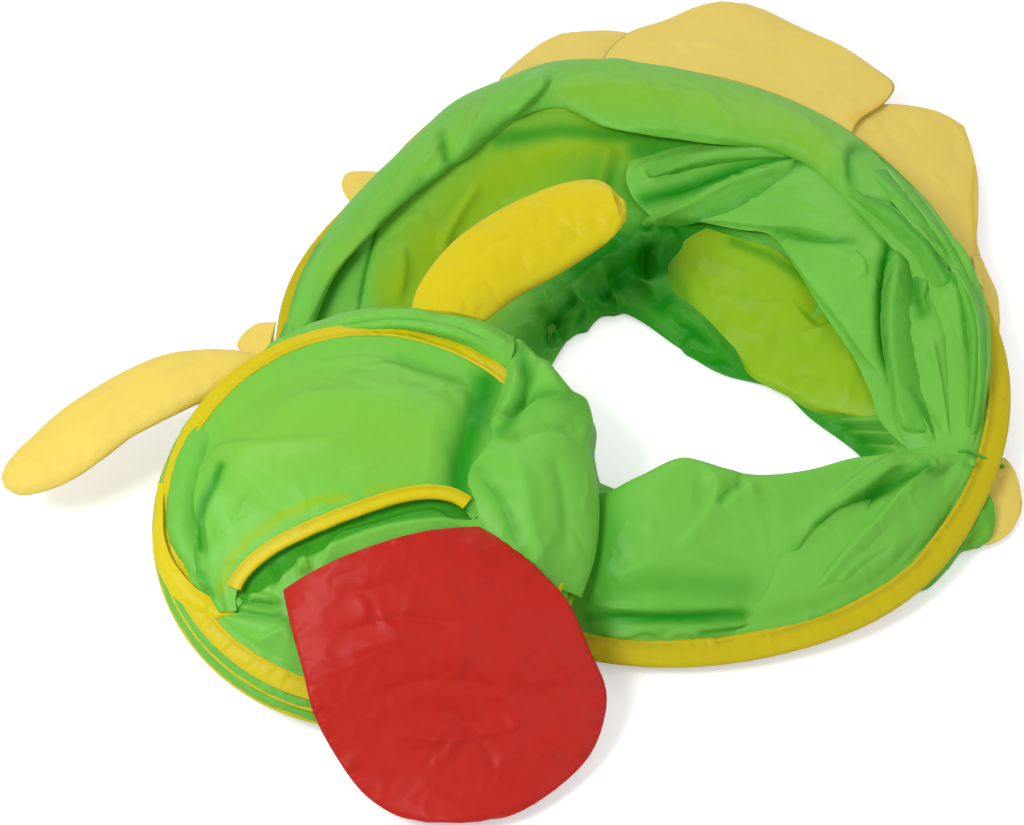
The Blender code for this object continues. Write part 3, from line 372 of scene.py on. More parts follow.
def raised(grid, foot):
    """A grid with no point below a height."""
    grid[..., 2] = np.maximum(grid[..., 2], foot)
    return grid


def hollows(grid, reach, closed=False):
    """How deep each point lies in a fold, from 0 to 1, with reach the depth in metres that gives 1."""
    depth = ((smoothed(grid, closed, 14) - grid) * facing(grid, closed)).sum(-1)
    return np.clip(depth / reach, 0, 1)


def held_edges(grid, first=0, last=0, left=0, right=0):
    """1 inside a grid, easing to 0 over the given shares at its first and last rows and columns."""
    rows = np.linspace(0, 1, grid.shape[0])[:, None]
    columns = np.linspace(0, 1, grid.shape[1])[None, :]
    free = np.ones(grid.shape[:2])
    for share, place in ((first, rows), (last, 1 - rows), (left, columns), (right, 1 - columns)):
        if share:
            free = free * np.clip(place / share, 0, 1)
    return free * free * (3 - 2 * free)


def crumpled(grid, amount, scale, seed, closed=False, mask=1):
    """Adds sharp small wrinkles along the normals."""
    rise = field(grid, scale, seed, True) + 0.5 * field(grid, scale / 2.1, seed + 7, True)
    return grid + normals_of(grid, closed) * (amount * (rise * mask))[..., None]


def strokes(pixels, rows):
    """A mask from soft strokes: each is a strength, a width in pixels and a line of pixels."""
    mask = np.zeros(pixels.shape[:-1])
    for strength, width, line in rows:
        gap, _, _ = line_distance(pixels, line)
        mask = np.maximum(mask, strength * np.exp(-((gap / width) ** 2)))
    return mask


def painted_fold_shade(grid, pixels, rows, reach, share):
    """The mask of painted shade in a sheet's folds: soft strokes, and a share of how deep each point lies."""
    return np.clip(strokes(pixels, rows) + hollows(grid, reach) * share, 0, 1)


# Materials

def linear(red, green, blue):
    """A colour from its values out of 255 as a picture shows them."""
    values = []
    for value in (red, green, blue):
        share = value / 255
        values.append(share / 12.92 if share <= 0.04045 else ((share + 0.055) / 1.055) ** 2.4)
    return (*values, 1)


def shade(colour, share):
    """A colour made darker or lighter."""
    return tuple(min(1, c * share) for c in colour[:3]) + (1,)


def settle(tree, made, values):
    """Sets a node's inputs and properties. An input is linked where its value is another node's output."""
    for name, value in values.items():
        if name not in made.inputs:
            setattr(made, name, value)
        elif isinstance(value, bpy.types.NodeSocket):
            tree.links.new(value, made.inputs[name])
        else:
            made.inputs[name].default_value = value
    return made


def node(tree, kind, **values):
    """A new node with its inputs and properties set."""
    return settle(tree, tree.nodes.new(kind), values)


def mixed(tree, factor, a, b):
    """The output of a node that mixes two colours."""
    return node(tree, "ShaderNodeMix", data_type="RGBA", Factor=factor, A=a, B=b).outputs["Result"]


def new_material(name, **finish):
    """A material, its node tree and its shader, with the shader's inputs set by their names with underscores."""
    material = bpy.data.materials.new(name)
    material.use_nodes = True
    tree = material.node_tree
    shader = tree.nodes["Principled BSDF"]
    return material, tree, settle(tree, shader, {key.replace("_", " "): value for key, value in finish.items()})


def cloth_material(name, base, painted_light, deep, through, roughness, sheen, crinkle, crinkle_scale):
    """Thin woven cloth: a base colour, a painted-light colour where light shows through, and a painted-shade colour for
    its deep folds.
    """
    material, tree, shader = new_material(
        name, Roughness=roughness, Specular_IOR_Level=0.22, Sheen_Weight=sheen, Sheen_Roughness=0.4
    )
    place = node(tree, "ShaderNodeTexCoord").outputs["Object"]
    mottle = node(tree, "ShaderNodeTexNoise", Scale=9, Detail=3, Vector=place).outputs["Fac"]
    colour = mixed(tree, mottle, shade(base, 0.93), shade(base, 1.07))
    # Mixes in painted light where light shows through, then painted shade in the folds
    for label, tint in (("painted_light", painted_light), ("deep", deep)):
        mask = node(tree, "ShaderNodeAttribute", attribute_name=label).outputs["Fac"]
        colour = mixed(tree, mask, colour, tint)
    creases = node(
        tree, "ShaderNodeTexNoise", noise_type="RIDGED_MULTIFRACTAL", Scale=crinkle_scale, Detail=3,
        Distortion=0.7, Vector=place,
    ).outputs["Fac"]
    weave = node(tree, "ShaderNodeMath", operation="MULTIPLY")
    for i, way in enumerate(("X", "Y")):
        wave = node(tree, "ShaderNodeTexWave", Scale=520, Distortion=0.6, bands_direction=way, Vector=place)
        tree.links.new(wave.outputs["Fac"], weave.inputs[i])
    bump = node(tree, "ShaderNodeBump", Strength=crinkle, Distance=0.008, Height=creases).outputs["Normal"]
    grain = node(
        tree, "ShaderNodeBump", Strength=0.12, Distance=0.0004, Height=weave.outputs["Value"], Normal=bump
    ).outputs["Normal"]
    settle(tree, shader, {"Base Color": colour, "Normal": grain})
    thin = node(tree, "ShaderNodeBsdfTranslucent", Color=colour, Normal=grain)
    mix = node(tree, "ShaderNodeMixShader", Fac=through)
    tree.links.new(shader.outputs["BSDF"], mix.inputs[1])
    tree.links.new(thin.outputs["BSDF"], mix.inputs[2])
    tree.links.new(mix.outputs["Shader"], tree.nodes["Material Output"].inputs["Surface"])
    return material


def plain_material(name, colour, roughness, metallic=0):
    """A hard or hidden material with a fine grain."""
    material, tree, shader = new_material(name, Roughness=roughness, Metallic=metallic)
    place = node(tree, "ShaderNodeTexCoord").outputs["Object"]
    grain = node(tree, "ShaderNodeTexNoise", Scale=180, Detail=4, Vector=place).outputs["Fac"]
    settle(tree, shader, {"Base Color": mixed(tree, grain, shade(colour, 0.85), colour)})
    return material


GREEN = "green_nylon"
YELLOW = "yellow_nylon"
PALE = "pale_yellow_nylon"
RED = "red_nylon"
# Each cloth's colours: its own base, its painted light where light shows through, and its painted shade in deep folds
CLOTHS = {
    GREEN: cloth_material(
        GREEN, linear(124, 206, 76), linear(158, 200, 14), linear(14, 150, 4),
        through=0.24, roughness=0.40, sheen=0.05, crinkle=0.60, crinkle_scale=24,
    ),
    YELLOW: cloth_material(
        YELLOW, linear(216, 198, 14), linear(236, 214, 60), linear(176, 160, 0),
        through=0.10, roughness=0.44, sheen=0.04, crinkle=0.40, crinkle_scale=36,
    ),
    PALE: cloth_material(
        PALE, linear(236, 210, 96), linear(240, 220, 120), linear(222, 178, 30),
        through=0.12, roughness=0.5, sheen=0.06, crinkle=0.35, crinkle_scale=18,
    ),
    RED: cloth_material(
        RED, linear(180, 28, 14), linear(205, 62, 50), linear(150, 16, 8),
        through=0.0, roughness=0.46, sheen=0.03, crinkle=0.60, crinkle_scale=24,
    ),
}
STEEL = plain_material("spring_steel", linear(190, 190, 194), 0.3, 1)
WADDING = plain_material("polyester_wadding", linear(232, 232, 228), 0.95)


# Making pieces

def carry(thing, carrier):
    """Rides a piece on a body, or else bakes its place into its points."""
    if isinstance(carrier, str):
        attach(thing, carrier)
    else:
        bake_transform(thing)


def piece(name, grid, slot, carrier, replaces, closed=False, painted_light=0, deep=0, loop=False, caps=False):
    """An object from a grid of points.

    closed joins the last row to the first, loop joins each row's ends, and caps fills the first and last rows.
    """
    rows, columns = grid.shape[:2]
    faces = []
    for i in range(rows if closed else rows - 1):
        m = (i + 1) % rows
        for j in range(columns if loop else columns - 1):
            k = (j + 1) % columns
            faces.append((i * columns + j, i * columns + k, m * columns + k, m * columns + j))
    if caps:
        faces.append(tuple(reversed(range(columns))))
        faces.append(tuple((rows - 1) * columns + j for j in range(columns)))
    mesh = bpy.data.meshes.new(name)
    mesh.from_pydata(grid.reshape(-1, 3).tolist(), [], faces)
    mesh.shade_smooth()
    # Per-point masks of painted light and of painted shade (deep), which the cloth materials mix into the colour
    for label, values in (("painted_light", painted_light), ("deep", deep)):
        layer = mesh.attributes.new(label, "FLOAT", "POINT")
        values = np.broadcast_to(values, grid.shape[:2]).reshape(-1)
        layer.data.foreach_set("value", np.ascontiguousarray(values, dtype=np.float32))
    mesh.materials.append(CLOTHS[slot])
    thing = bpy.data.objects.new(name, mesh)
    bpy.context.scene.collection.objects.link(thing)
    carry(thing, carrier)
    if replaces:
        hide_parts(*replaces)
    return thing


def cloth(name, grid, carrier, held, rests_on, replaces=(), slot=GREEN, closed=False, painted_light=0, deep=0):
    """A sheet of cloth from a grid of points."""
    thing = piece(name, grid, slot, carrier, replaces, closed, painted_light, deep)


def build_laps(laps, below, grid, across, along, amount):
    """Folds that lie over a sheet. Each has a name, its rows, a seed, and its shade from edge to edge."""
    for name, rows, seed, shades in laps:
        strip = crumpled(laid_over(rows, grid, across, along), amount, 0.03, seed)
        cloth(name, strip, UPPER, "folded", below, deep=np.linspace(*shades, across) ** 1.5)


# Hoops

# The line of stitches along a casing, as shares of its band, and how far the band wanders
SEAM_PLACE = 0.80
SEAM_HALF = 0.04
BAND_WANDER = 0.0035


def body_frame(radius, near, far):
    """The frame of a body hoop, from its height at the near side and at the far side."""
    tip = math.asin((far - near) / (2 * radius))
    return Matrix.Translation((0, 0, (near + far) / 2)) @ Matrix.Rotation(tip, 4, "X")


def head_frame(level):
    """The frame of a head hoop: 0 is the front one, 1 the middle and 2 the back."""
    tip = Matrix.Rotation(HEAD_TIP_SIDE, 4, "Y") @ Matrix.Rotation(HEAD_TIP_BACK, 4, "X")
    return Matrix.Translation(HEAD_CENTRE) @ tip @ Matrix.Translation((0, 0, -level * HEAD_PITCH))


def moved(matrix, points):
    """Points of a hoop's own space in the row frame."""
    matrix = np.array(matrix)
    return np.asarray(points) @ matrix[:3, :3].T + matrix[:3, 3] + RING


def hoop_points(angle, inward, lift, radius, tilt, oval=0):
    """Places on a hoop's casing: inward runs along its legs, lift across them."""
    angle, inward, lift = np.broadcast_arrays(angle, inward, lift)
    share = 1 + oval * np.cos(2 * (angle - BODY_OVAL_TURN))
    if oval:
        for centre, half, pull in BODY_PULLS:
            away = (angle - math.radians(centre) + math.pi) % math.tau - math.pi
            share = share + pull * np.exp(-((away / math.radians(half)) ** 2))
    grown = radius * share
    out = grown - inward * math.cos(tilt) + lift * math.sin(tilt)
    up = inward * math.sin(tilt) + lift * math.cos(tilt)
    return np.stack([out * np.cos(angle), out * np.sin(angle), up], -1)


def body_line(hoop, angles, inward, lift):
    """A line round a body hoop's casing, seen from the ring's middle."""
    _, matrix, radius, _ = hoop
    return moved(matrix, hoop_points(angles, inward, lift, radius, BODY_LEG_TILT, BODY_OVAL)) - RING


def casing(name, body, matrix, radius, tilt, crook, band, oval, count, seed, pucker=0.0006, overall_shade=0.1):
    """A folded band of cloth round a wire, wavy and puckered along its seam."""
    angles = np.linspace(0, math.tau, count, endpoint=False)
    arc = [math.radians(a) for a in range(60, 301, 30)]
    section = [(band, 0.35), (band * 0.86, 0.42), (band * SEAM_PLACE, 0.30), (band * 0.55, 0.62), (band * 0.28, 0.88)]
    ring = [(a, b * crook) for a, b in section]
    ring += [(crook * math.cos(a), crook * math.sin(a)) for a in arc]
    ring += [(a, -b * crook) for a, b in reversed(section)]
    inward, lift = np.array(ring).T[:, None]
    loop = np.stack([np.cos(angles) * radius, np.sin(angles) * radius, angles * 0], -1)
    slow = field(loop, 0.09, seed)[:, None]
    quick = field(loop, 0.013, seed + 3, True)[:, None]
    quicker = field(loop, 0.030, seed + 9, True)[:, None]
    out_share = np.clip(inward / band, 0, 1)
    inward = inward + slow * BAND_WANDER * out_share + quick * pucker * out_share
    lift = lift + np.sign(lift) * (quick * pucker + quicker * pucker) * (0.4 + out_share)
    grid = moved(matrix, hoop_points(angles[:, None], inward, lift, radius, tilt, oval))
    seam = np.abs(np.abs(inward / band) - SEAM_PLACE) < SEAM_HALF
    # The casing is painted darker all round as painted shade, and darker still in its seam's fold
    deep = np.where(seam, overall_shade + 0.3, overall_shade)
    thing = piece(name + "_cloth", grid, YELLOW, body, (name,), closed=True, deep=deep, loop=True)


TOP = ("top", body_frame(TOP_RADIUS, BASE_NEAR + 2 * NEST_RISE, TOP_FAR), TOP_RADIUS, 1)
MIDDLE = ("middle", body_frame(MIDDLE_RADIUS, BASE_NEAR + NEST_RISE, MIDDLE_FAR), MIDDLE_RADIUS, 2)
BASE = ("base", Matrix.Translation((0, 0, BASE_NEAR)), BASE_RADIUS, 3)
# The body hoops' casings get more painted shade all round than the head's casings
for body, matrix, radius, seed in (TOP, MIDDLE, BASE):
    casing(
        f"{body}_hoop_casing", body, matrix, radius, BODY_LEG_TILT, BODY_CROOK, BODY_BAND, BODY_OVAL, 900, seed,
        overall_shade=0.5,
    )
for level, (name, body) in enumerate((("front", "head_front"), ("middle", "head_middle"), ("back", "head"))):
    casing(
        f"head_{name}_hoop_casing", body, head_frame(level), FRONT_RADIUS + level * HEAD_GROWTH, HEAD_LEG_TILT,
        HEAD_CROOK, HEAD_BAND, 0, 600, 11 + level, 0.0005,
    )
# The upper sleeve's cloth, between the top hoop above and the middle hoop at the hole
UPPER = ("middle", "top", TOP[1], -0.034, -0.006)


# The ring's cloth

HOLE = (
    (0.262, -0.150), (0.202, -0.082), (0.169, -0.039), (0.097, -0.010), (0.050, 0.030), (-0.022, 0.089),
    (-0.066, 0.072), (-0.110, -0.002), (-0.125, -0.070), (-0.105, -0.140), (-0.040, -0.190), (0.040, -0.215),
    (0.130, -0.225), (0.210, -0.212), (0.258, -0.186),
)
# Heights in millimetres at shares of the way in from the casing, for angles round the ring
WALL_SHARES = (0.08, 0.16, 0.28, 0.40, 0.58, 0.78)
WALL = (
    (-180, (52, 48, 40, 34, 28, 20)),
    (-150, (50, 50, 42, 34, 26, 18)),
    (-120, (42, 43, 41, 36, 30, 22)),
    (-100, (32, 36, 43, 49, 55, 52)),
    (-85, (36, 50, 62, 72, 84, 84)),
    (-70, (36, 52, 66, 76, 88, 90)),
    (-50, (34, 48, 60, 66, 74, 74)),
    (-36, (36, 46, 52, 52, 46, 36)),
    (-27, (46, 48, 46, 44, 38, 26)),
    (-12, (60, 68, 68, 64, 52, 32)),
    (5, (72, 80, 76, 70, 56, 34)),
    (25, (82, 88, 80, 72, 54, 32)),
    (45, (88, 90, 78, 70, 48, 28)),
    (75, (90, 88, 74, 60, 42, 25)),
    (100, (90, 88, 74, 58, 42, 24)),
    (140, (84, 82, 70, 54, 38, 22)),
    (160, (72, 70, 60, 46, 34, 21)),
)
WALL_FOLDS = (
    (6, 8, ((484, 180), (465, 205), (448, 236), (438, 265)), 1),
    (-4, 7, ((472, 182), (452, 208), (436, 236))),
    (5, 7, ((401, 238), (404, 265), (398, 305)), 1),
    (4, 9, ((430, 210), (410, 220), (390, 236)), -1),
    (4, 10, ((520, 160), (560, 150), (600, 150))),
    (7, 9, ((612, 145), (602, 172), (596, 200)), -1),
    (-5, 7, ((622, 145), (612, 175), (606, 205))),
    (-4, 5, ((378, 226), (371, 248), (365, 272), (358, 312))),
    (18, 9, ((662, 227), (636, 242), (622, 261), (603, 275), (582, 292)), 1),
    (16, 8, ((653, 266), (664, 250), (682, 239)), -1),
    (14, 8, ((603, 275), (612, 292), (622, 315)), 1),
    (14, 9, ((634, 276), (650, 290), (661, 304)), -1),
    (14, 8, ((661, 304), (697, 328), (719, 350), (744, 373)), -1),
    (14, 10, ((541, 321), (560, 300), (589, 279), (620, 262)), 1),
    (11, 8, ((542, 318), (545, 302), (540, 286)), -1),
    (13, 8, ((562, 342), (574, 318), (590, 300)), -1),
    (6, 8, ((498, 342), (520, 327), (541, 319)), 1),
    (-18, 9, ((652, 286), (641, 262), (650, 240))),
    (-16, 9, ((598, 304), (611, 285), (602, 264))),
    (-13, 8, ((560, 347), (552, 330), (556, 314))),
    (-14, 9, ((624, 250), (640, 232), (656, 226))),
    (-11, 8, ((576, 300), (560, 312), (550, 330))),
    (9, 6, ((597, 268), (610, 262), (624, 262)), 1),
    (11, 6, ((575, 340), (583, 320), (588, 306)), 1),
    (11, 8, ((680, 345), (700, 352), (726, 362)), -1),
    (5, 6, ((804, 402), (828, 392), (850, 398)), 1),
    (6, 4, ((829, 420), (860, 421), (894, 420)), -1),
    (-6, 4, ((836, 426), (866, 427), (896, 427))),
    (6, 4, ((842, 432), (868, 433), (898, 434)), -1),
    (-6, 4, ((852, 439), (876, 440), (900, 442))),
    (5, 4, ((862, 446), (882, 447), (902, 448)), -1),
)


def turned_table(table, angles, soften):
    """Rows of a table of angles, read and softened at every angle round the ring."""
    keys = np.array([math.radians(a) for a, row in table])
    rows = np.array([row for a, row in table], float) / 1000
    keys = np.concatenate([keys - math.tau, keys, keys + math.tau])
    rows = np.concatenate([rows, rows, rows])
    dense = np.stack([np.interp(angles, keys, rows[:, j]) for j in range(rows.shape[1])], 1)
    window = np.hanning(2 * soften + 1)
    window /= window.sum()
    wide = np.concatenate([dense[-soften:], dense, dense[:soften]])
    return np.stack([np.convolve(wide[:, j], window, "valid") for j in range(dense.shape[1])], 1)


def hole_edge(angles):
    """The edge of the hole at angles seen from the ring's middle."""
    hole = spline(np.array([(x, y, 0) for x, y in HOLE]), 3000, closed=True)[:, :2]
    middle = hole.mean(0)
    turn = np.arctan2(hole[:, 1] - middle[1], hole[:, 0] - middle[0])
    order = np.argsort(turn)
    return np.stack([np.interp(angles, turn[order], hole[order][:, k], period=math.tau) for k in range(2)], 1)


def between(outer, inner, share, height):
    """Points a share of the way in from an outer line to the hole's edge, at a height."""
    spots = outer[:, :2] * (1 - share) + inner * share
    return np.column_stack([spots, np.broadcast_to(height, len(spots))])


def build_wall():
    """The upper sleeve's inner wall, from the top hoop's casing in and down to the hole's edge."""
    angles = np.linspace(-math.pi, math.pi, 1000, endpoint=False)
    heights = turned_table(WALL, angles, 25)
    inner = hole_edge(angles)
    outer = body_line(TOP, angles, 0.018, -0.0030)
    lines = [outer]
    for share, height in (*zip(WALL_SHARES, heights.T), (0.95, 0.0120), (1, 0.0050), (0.94, 0.0030)):
        lines.append(between(outer, inner, share, height))
    grid = across_lines(lines, 116) + RING
    pixels = seen(grid)
    share = np.linspace(0, 1, grid.shape[1])[None, :]
    # The crumpled region: it buckles more, and is painted in shade
    crumple = strokes(pixels, (
        (1, 50, ((590, 250), (640, 262), (690, 240))),
        (0.9, 34, ((560, 330), (600, 290), (640, 290), (700, 340), (760, 380))),
        (0.6, 40, ((560, 270), (600, 200), (650, 190))),
    ))
    grid = folded(grid, WALL_FOLDS, True)
    around = 0.004 + 0.015 * np.clip((share - 0.35) / 0.4, 0, 1) + 0.03 * crumple
    free = held_edges(grid, left=0.05, right=0.05)
    grid = raised(buckled(grid, around, 0.010 + 0.03 * crumple, free, 3, hold=0.006, closed=True), WALL_FOOT)
    # Painted light where light shows through the inner wall, right of pixel column 368
    painted_light = strokes(pixels, (
        (1.0, 42, ((405, 290), (440, 240), (500, 180), (570, 150), (620, 150))),
        (0.9, 40, ((450, 300), (520, 210), (600, 170))),
    )) * np.clip((pixels[..., 0] - 368) / 10, 0, 1)
    # Painted shade in the crumpled hollows, along folds, under the rim's band and in a thin seam line, and more where
    # points lie deep in folds; painted light is dimmed where shade is painted
    deep = np.maximum(np.clip(crumple * 0.9, 0, 1), strokes(pixels, (
        (0.9, 22, ((600, 306), (640, 318), (680, 348), (747, 380), (809, 420), (865, 455))),
        (0.8, 24, ((540, 345), (575, 320), (620, 300))),
        (0.8, 16, ((640, 150), (700, 160), (760, 172), (800, 175))),
        (0.7, 9, ((500, 140), (560, 130), (620, 136), (690, 146))),
        (0.6, 10, ((352, 256), (336, 280), (322, 308), (312, 336))),
        (0.8, 2, ((378, 226), (371, 248), (365, 272), (358, 312))),
    )))
    deep = np.clip(deep + hollows(grid, 0.0045, True) * 0.7, 0, 1)
    cloth(
        "wall_cloth", grid, UPPER, "gathered", "top_hoop_casing_cloth", ("upper_sleeve",), closed=True,
        painted_light=painted_light * (1 - deep * 0.8), deep=deep,
    )


def build_under():
    """The layer that runs back below from the hole to the middle hoop's casing."""
    angles = np.linspace(-math.pi, math.pi, 360, endpoint=False)
    inner = hole_edge(angles)
    leave = body_line(MIDDLE, angles, 0.034, 0.0)
    lines = [body_line(MIDDLE, angles, 0.018, 0.0), leave]
    for share, height in ((0.25, 0.0075), (0.55, 0.0062), (0.94, 0.0030)):
        lines.append(between(leave, inner, share, height))
    grid = across_lines(lines, 44) + RING
    free = held_edges(grid, left=0.1, right=0.1)
    grid = raised(buckled(grid, 0.01, 0.02, free, 9, hold=0.02, coarse=2, closed=True), UNDER_FOOT)
    # The layer below is painted in shade all over
    cloth("under_cloth", grid, "middle", "gathered", "middle_hoop_casing_cloth", closed=True, deep=0.4)


# The near hump: rows from the casing up over its crest, and down to the hole's edge behind
HUMP_ROWS = (
    ((560, 634, 24), (556, 600, 44), (556, 560, 66), (558, 520, 84), (560, 492, 88), (566, 500, 60), (572, 508, 6)),
    ((583, 640, 24), (584, 608, 46), (587, 565, 74), (592, 525, 94), (598, 495, 100), (603, 502, 66), (606, 512, 6)),
    ((640, 650, 24), (638, 614, 57), (636, 568, 87), (635, 516, 111), (638, 478, 121), (644, 486, 76), (650, 500, 6)),
    ((704, 648, 24), (700, 610, 57), (692, 560, 89), (684, 505, 117), (683, 459, 129), (690, 472, 80), (698, 492, 6)),
    ((760, 634, 24), (752, 596, 57), (740, 545, 87), (728, 505, 105), (722, 471, 115), (728, 484, 72), (738, 496, 6)),
    ((812, 618, 25), (800, 582, 55), (785, 540, 79), (770, 500, 95), (760, 476, 101), (765, 486, 62), (775, 496, 6)),
    ((862, 600, 26), (848, 564, 53), (832, 524, 71), (818, 490, 83), (808, 471, 87), (812, 480, 52), (820, 488, 6)),
    ((905, 574, 28), (890, 540, 51), (876, 508, 65), (864, 478, 73), (855, 459, 76), (858, 468, 44), (864, 476, 6)),
    ((938, 538, 31), (926, 512, 51), (914, 488, 61), (904, 470, 65), (896, 457, 67), (898, 464, 40), (902, 470, 10)),
    ((962, 502, 36), (954, 486, 44), (944, 474, 50), (936, 463, 59), (930, 455, 61), (930, 460, 38), (932, 464, 16)),
    ((978, 474, 42), (974, 468, 46), (969, 462, 49), (965, 458, 50), (962, 455, 51), (961, 457, 42), (960, 460, 30)),
)
HUMP_FOLDS = (
    (11, 9, ((952, 458), (920, 477), (900, 494), (878, 520), (848, 550), (822, 580), (802, 606)), -1),
    (-7, 5, ((930, 466), (895, 484), (868, 500), (838, 540), (812, 580))),
    (9, 8, ((926, 462), (895, 468), (866, 488), (840, 506), (815, 522), (800, 540), (790, 566)), 1),
    (-8, 6, ((905, 474), (872, 492), (846, 508), (822, 522))),
    (7, 8, ((905, 456), (870, 470), (845, 488), (825, 502)), -1),
    (8, 7, ((928, 456), (932, 466), (915, 476)), 1),
    (5, 12, ((690, 460), (716, 484), (706, 515), (670, 555)), -1),
    (5, 8, ((700, 480), (722, 477), (744, 477)), 1),
    (-6, 8, ((748, 482), (730, 492), (718, 508))),
    (5, 9, ((760, 484), (736, 496), (722, 512)), -1),
    (5, 14, ((600, 586), (640, 566), (690, 560), (740, 572), (780, 570)), 1),
    (-6, 7, ((590, 614), (640, 616), (700, 614), (740, 612), (756, 616))),
    (6, 6, ((590, 606), (660, 610), (720, 608), (755, 612)), 1),
    (6, 5, ((600, 626), (680, 625), (760, 624), (800, 604), (850, 588), (874, 578)), 1),
    (-6, 4, ((700, 632), (760, 624), (800, 603), (850, 590), (872, 580))),
    (5, 5, ((600, 634), (620, 636), (650, 630), (666, 640)), -1),
    (4, 4, ((660, 640), (680, 630), (704, 634)), 1),
    (-4, 10, ((800, 545), (792, 575), (786, 600))),
    (4, 8, ((900, 540), (860, 560), (830, 590)), -1),
    (3, 12, ((640, 500), (620, 540), (600, 590))),
    (5, 5, ((964, 456), (975, 455), (982, 462), (974, 470)), 1),
    (-3, 5, ((966, 466), (950, 470), (930, 476))),
)


def build_hump():
    grid = laid(HUMP_ROWS, 150, 420, HUMP_FOLDS)
    pixels = seen(grid)
    to_knot = np.clip((pixels[..., 0] - 700) / 240, 0, 1)
    free = held_edges(grid, 0.02, 0.03, 0.04, 0.05)
    grid = raised(buckled(grid, 0.006, 0.010 + 0.04 * to_knot, free, 13), WALL_FOOT)
    # Painted shade along the hump's folds and where it lies deep
    deep = painted_fold_shade(grid, pixels, (
        (0.7, 6, ((928, 466), (895, 483), (868, 500), (838, 540), (812, 580))),
        (0.6, 8, ((900, 476), (872, 492), (846, 508), (822, 524))),
        (0.8, 9, ((590, 616), (640, 617), (700, 616), (740, 614))),
        (0.6, 3, ((700, 633), (760, 625), (800, 604), (850, 591), (872, 581))),
        (0.6, 22, ((598, 500), (606, 540), (602, 580), (596, 610))),
        (0.4, 16, ((604, 590), (650, 582), (700, 586), (740, 588))),
        (0.3, 12, ((800, 548), (792, 575), (770, 600))),
    ), 0.004, 0.6)
    cloth("hump_cloth", grid, UPPER, "gathered", "wall_cloth", deep=deep)


# The rolled rim: rows across it from its outer side to its inner fold, from the left round to the knot
RIM_ROWS = (
    ((272, 350, 40), (275, 345, 54), (284, 338, 70), (297, 338, 76), (309, 342, 68), (303, 346, 56)),
    ((283, 318, 42), (287, 314, 58), (300, 312, 76), (312, 312, 80), (320, 308, 70), (312, 306, 58)),
    ((300, 270, 46), (304, 265, 62), (318, 268, 84), (330, 276, 88), (340, 268, 78), (334, 258, 66)),
    ((335, 222, 50), (337, 217, 68), (354, 222, 92), (368, 232, 95), (380, 226, 84), (368, 214, 72)),
    ((374, 182, 54), (374, 176, 74), (390, 186, 97), (404, 198, 99), (415, 194, 86), (404, 182, 74)),
    ((410, 148, 56), (410, 142, 78), (428, 152, 101), (442, 164, 101), (453, 166, 86), (440, 152, 76)),
    ((454, 108, 58), (455, 101, 80), (468, 112, 103), (478, 126, 103), (485, 138, 90), (476, 126, 78)),
    ((500, 88, 60), (501, 80, 82), (508, 92, 104), (512, 106, 104), (517, 118, 91), (508, 108, 80)),
    ((552, 70, 61), (552, 62, 84), (556, 76, 106), (558, 92, 106), (561, 108, 92), (556, 96, 82)),
    ((600, 68, 62), (600, 60, 85), (602, 78, 107), (603, 102, 106), (604, 126, 91), (600, 112, 80)),
    ((660, 74, 62), (660, 66, 86), (658, 84, 108), (657, 110, 106), (655, 135, 91), (656, 122, 80)),
    ((722, 86, 61), (724, 79, 86), (718, 98, 108), (713, 122, 106), (708, 143, 91), (712, 130, 80)),
    ((780, 104, 60), (782, 97, 86), (772, 116, 107), (764, 134, 106), (759, 148, 91), (766, 138, 80)),
    ((834, 130, 58), (838, 124, 84), (824, 140, 106), (812, 154, 104), (803, 164, 89), (812, 152, 78)),
    ((878, 166, 55), (884, 161, 80), (868, 176, 103), (852, 192, 100), (841, 202, 87), (850, 188, 76)),
    ((918, 210, 51), (924, 205, 76), (908, 216, 98), (892, 228, 96), (878, 236, 85), (888, 222, 74)),
    ((950, 258, 47), (956, 253, 70), (944, 264, 92), (932, 276, 88), (920, 284, 79), (932, 270, 70)),
    ((974, 316, 42), (978, 312, 62), (967, 320, 82), (957, 326, 80), (947, 332, 72), (956, 322, 66)),
    ((984, 370, 40), (985, 368, 54), (977, 374, 70), (969, 378, 70), (961, 382, 64), (968, 374, 58)),
    ((982, 424, 38), (983, 421, 48), (976, 424, 58), (970, 426, 58), (963, 428, 54), (968, 422, 50)),
    ((976, 458, 40), (974, 453, 45), (970, 453, 51), (966, 453, 51), (961, 454, 48), (964, 452, 44)),
)
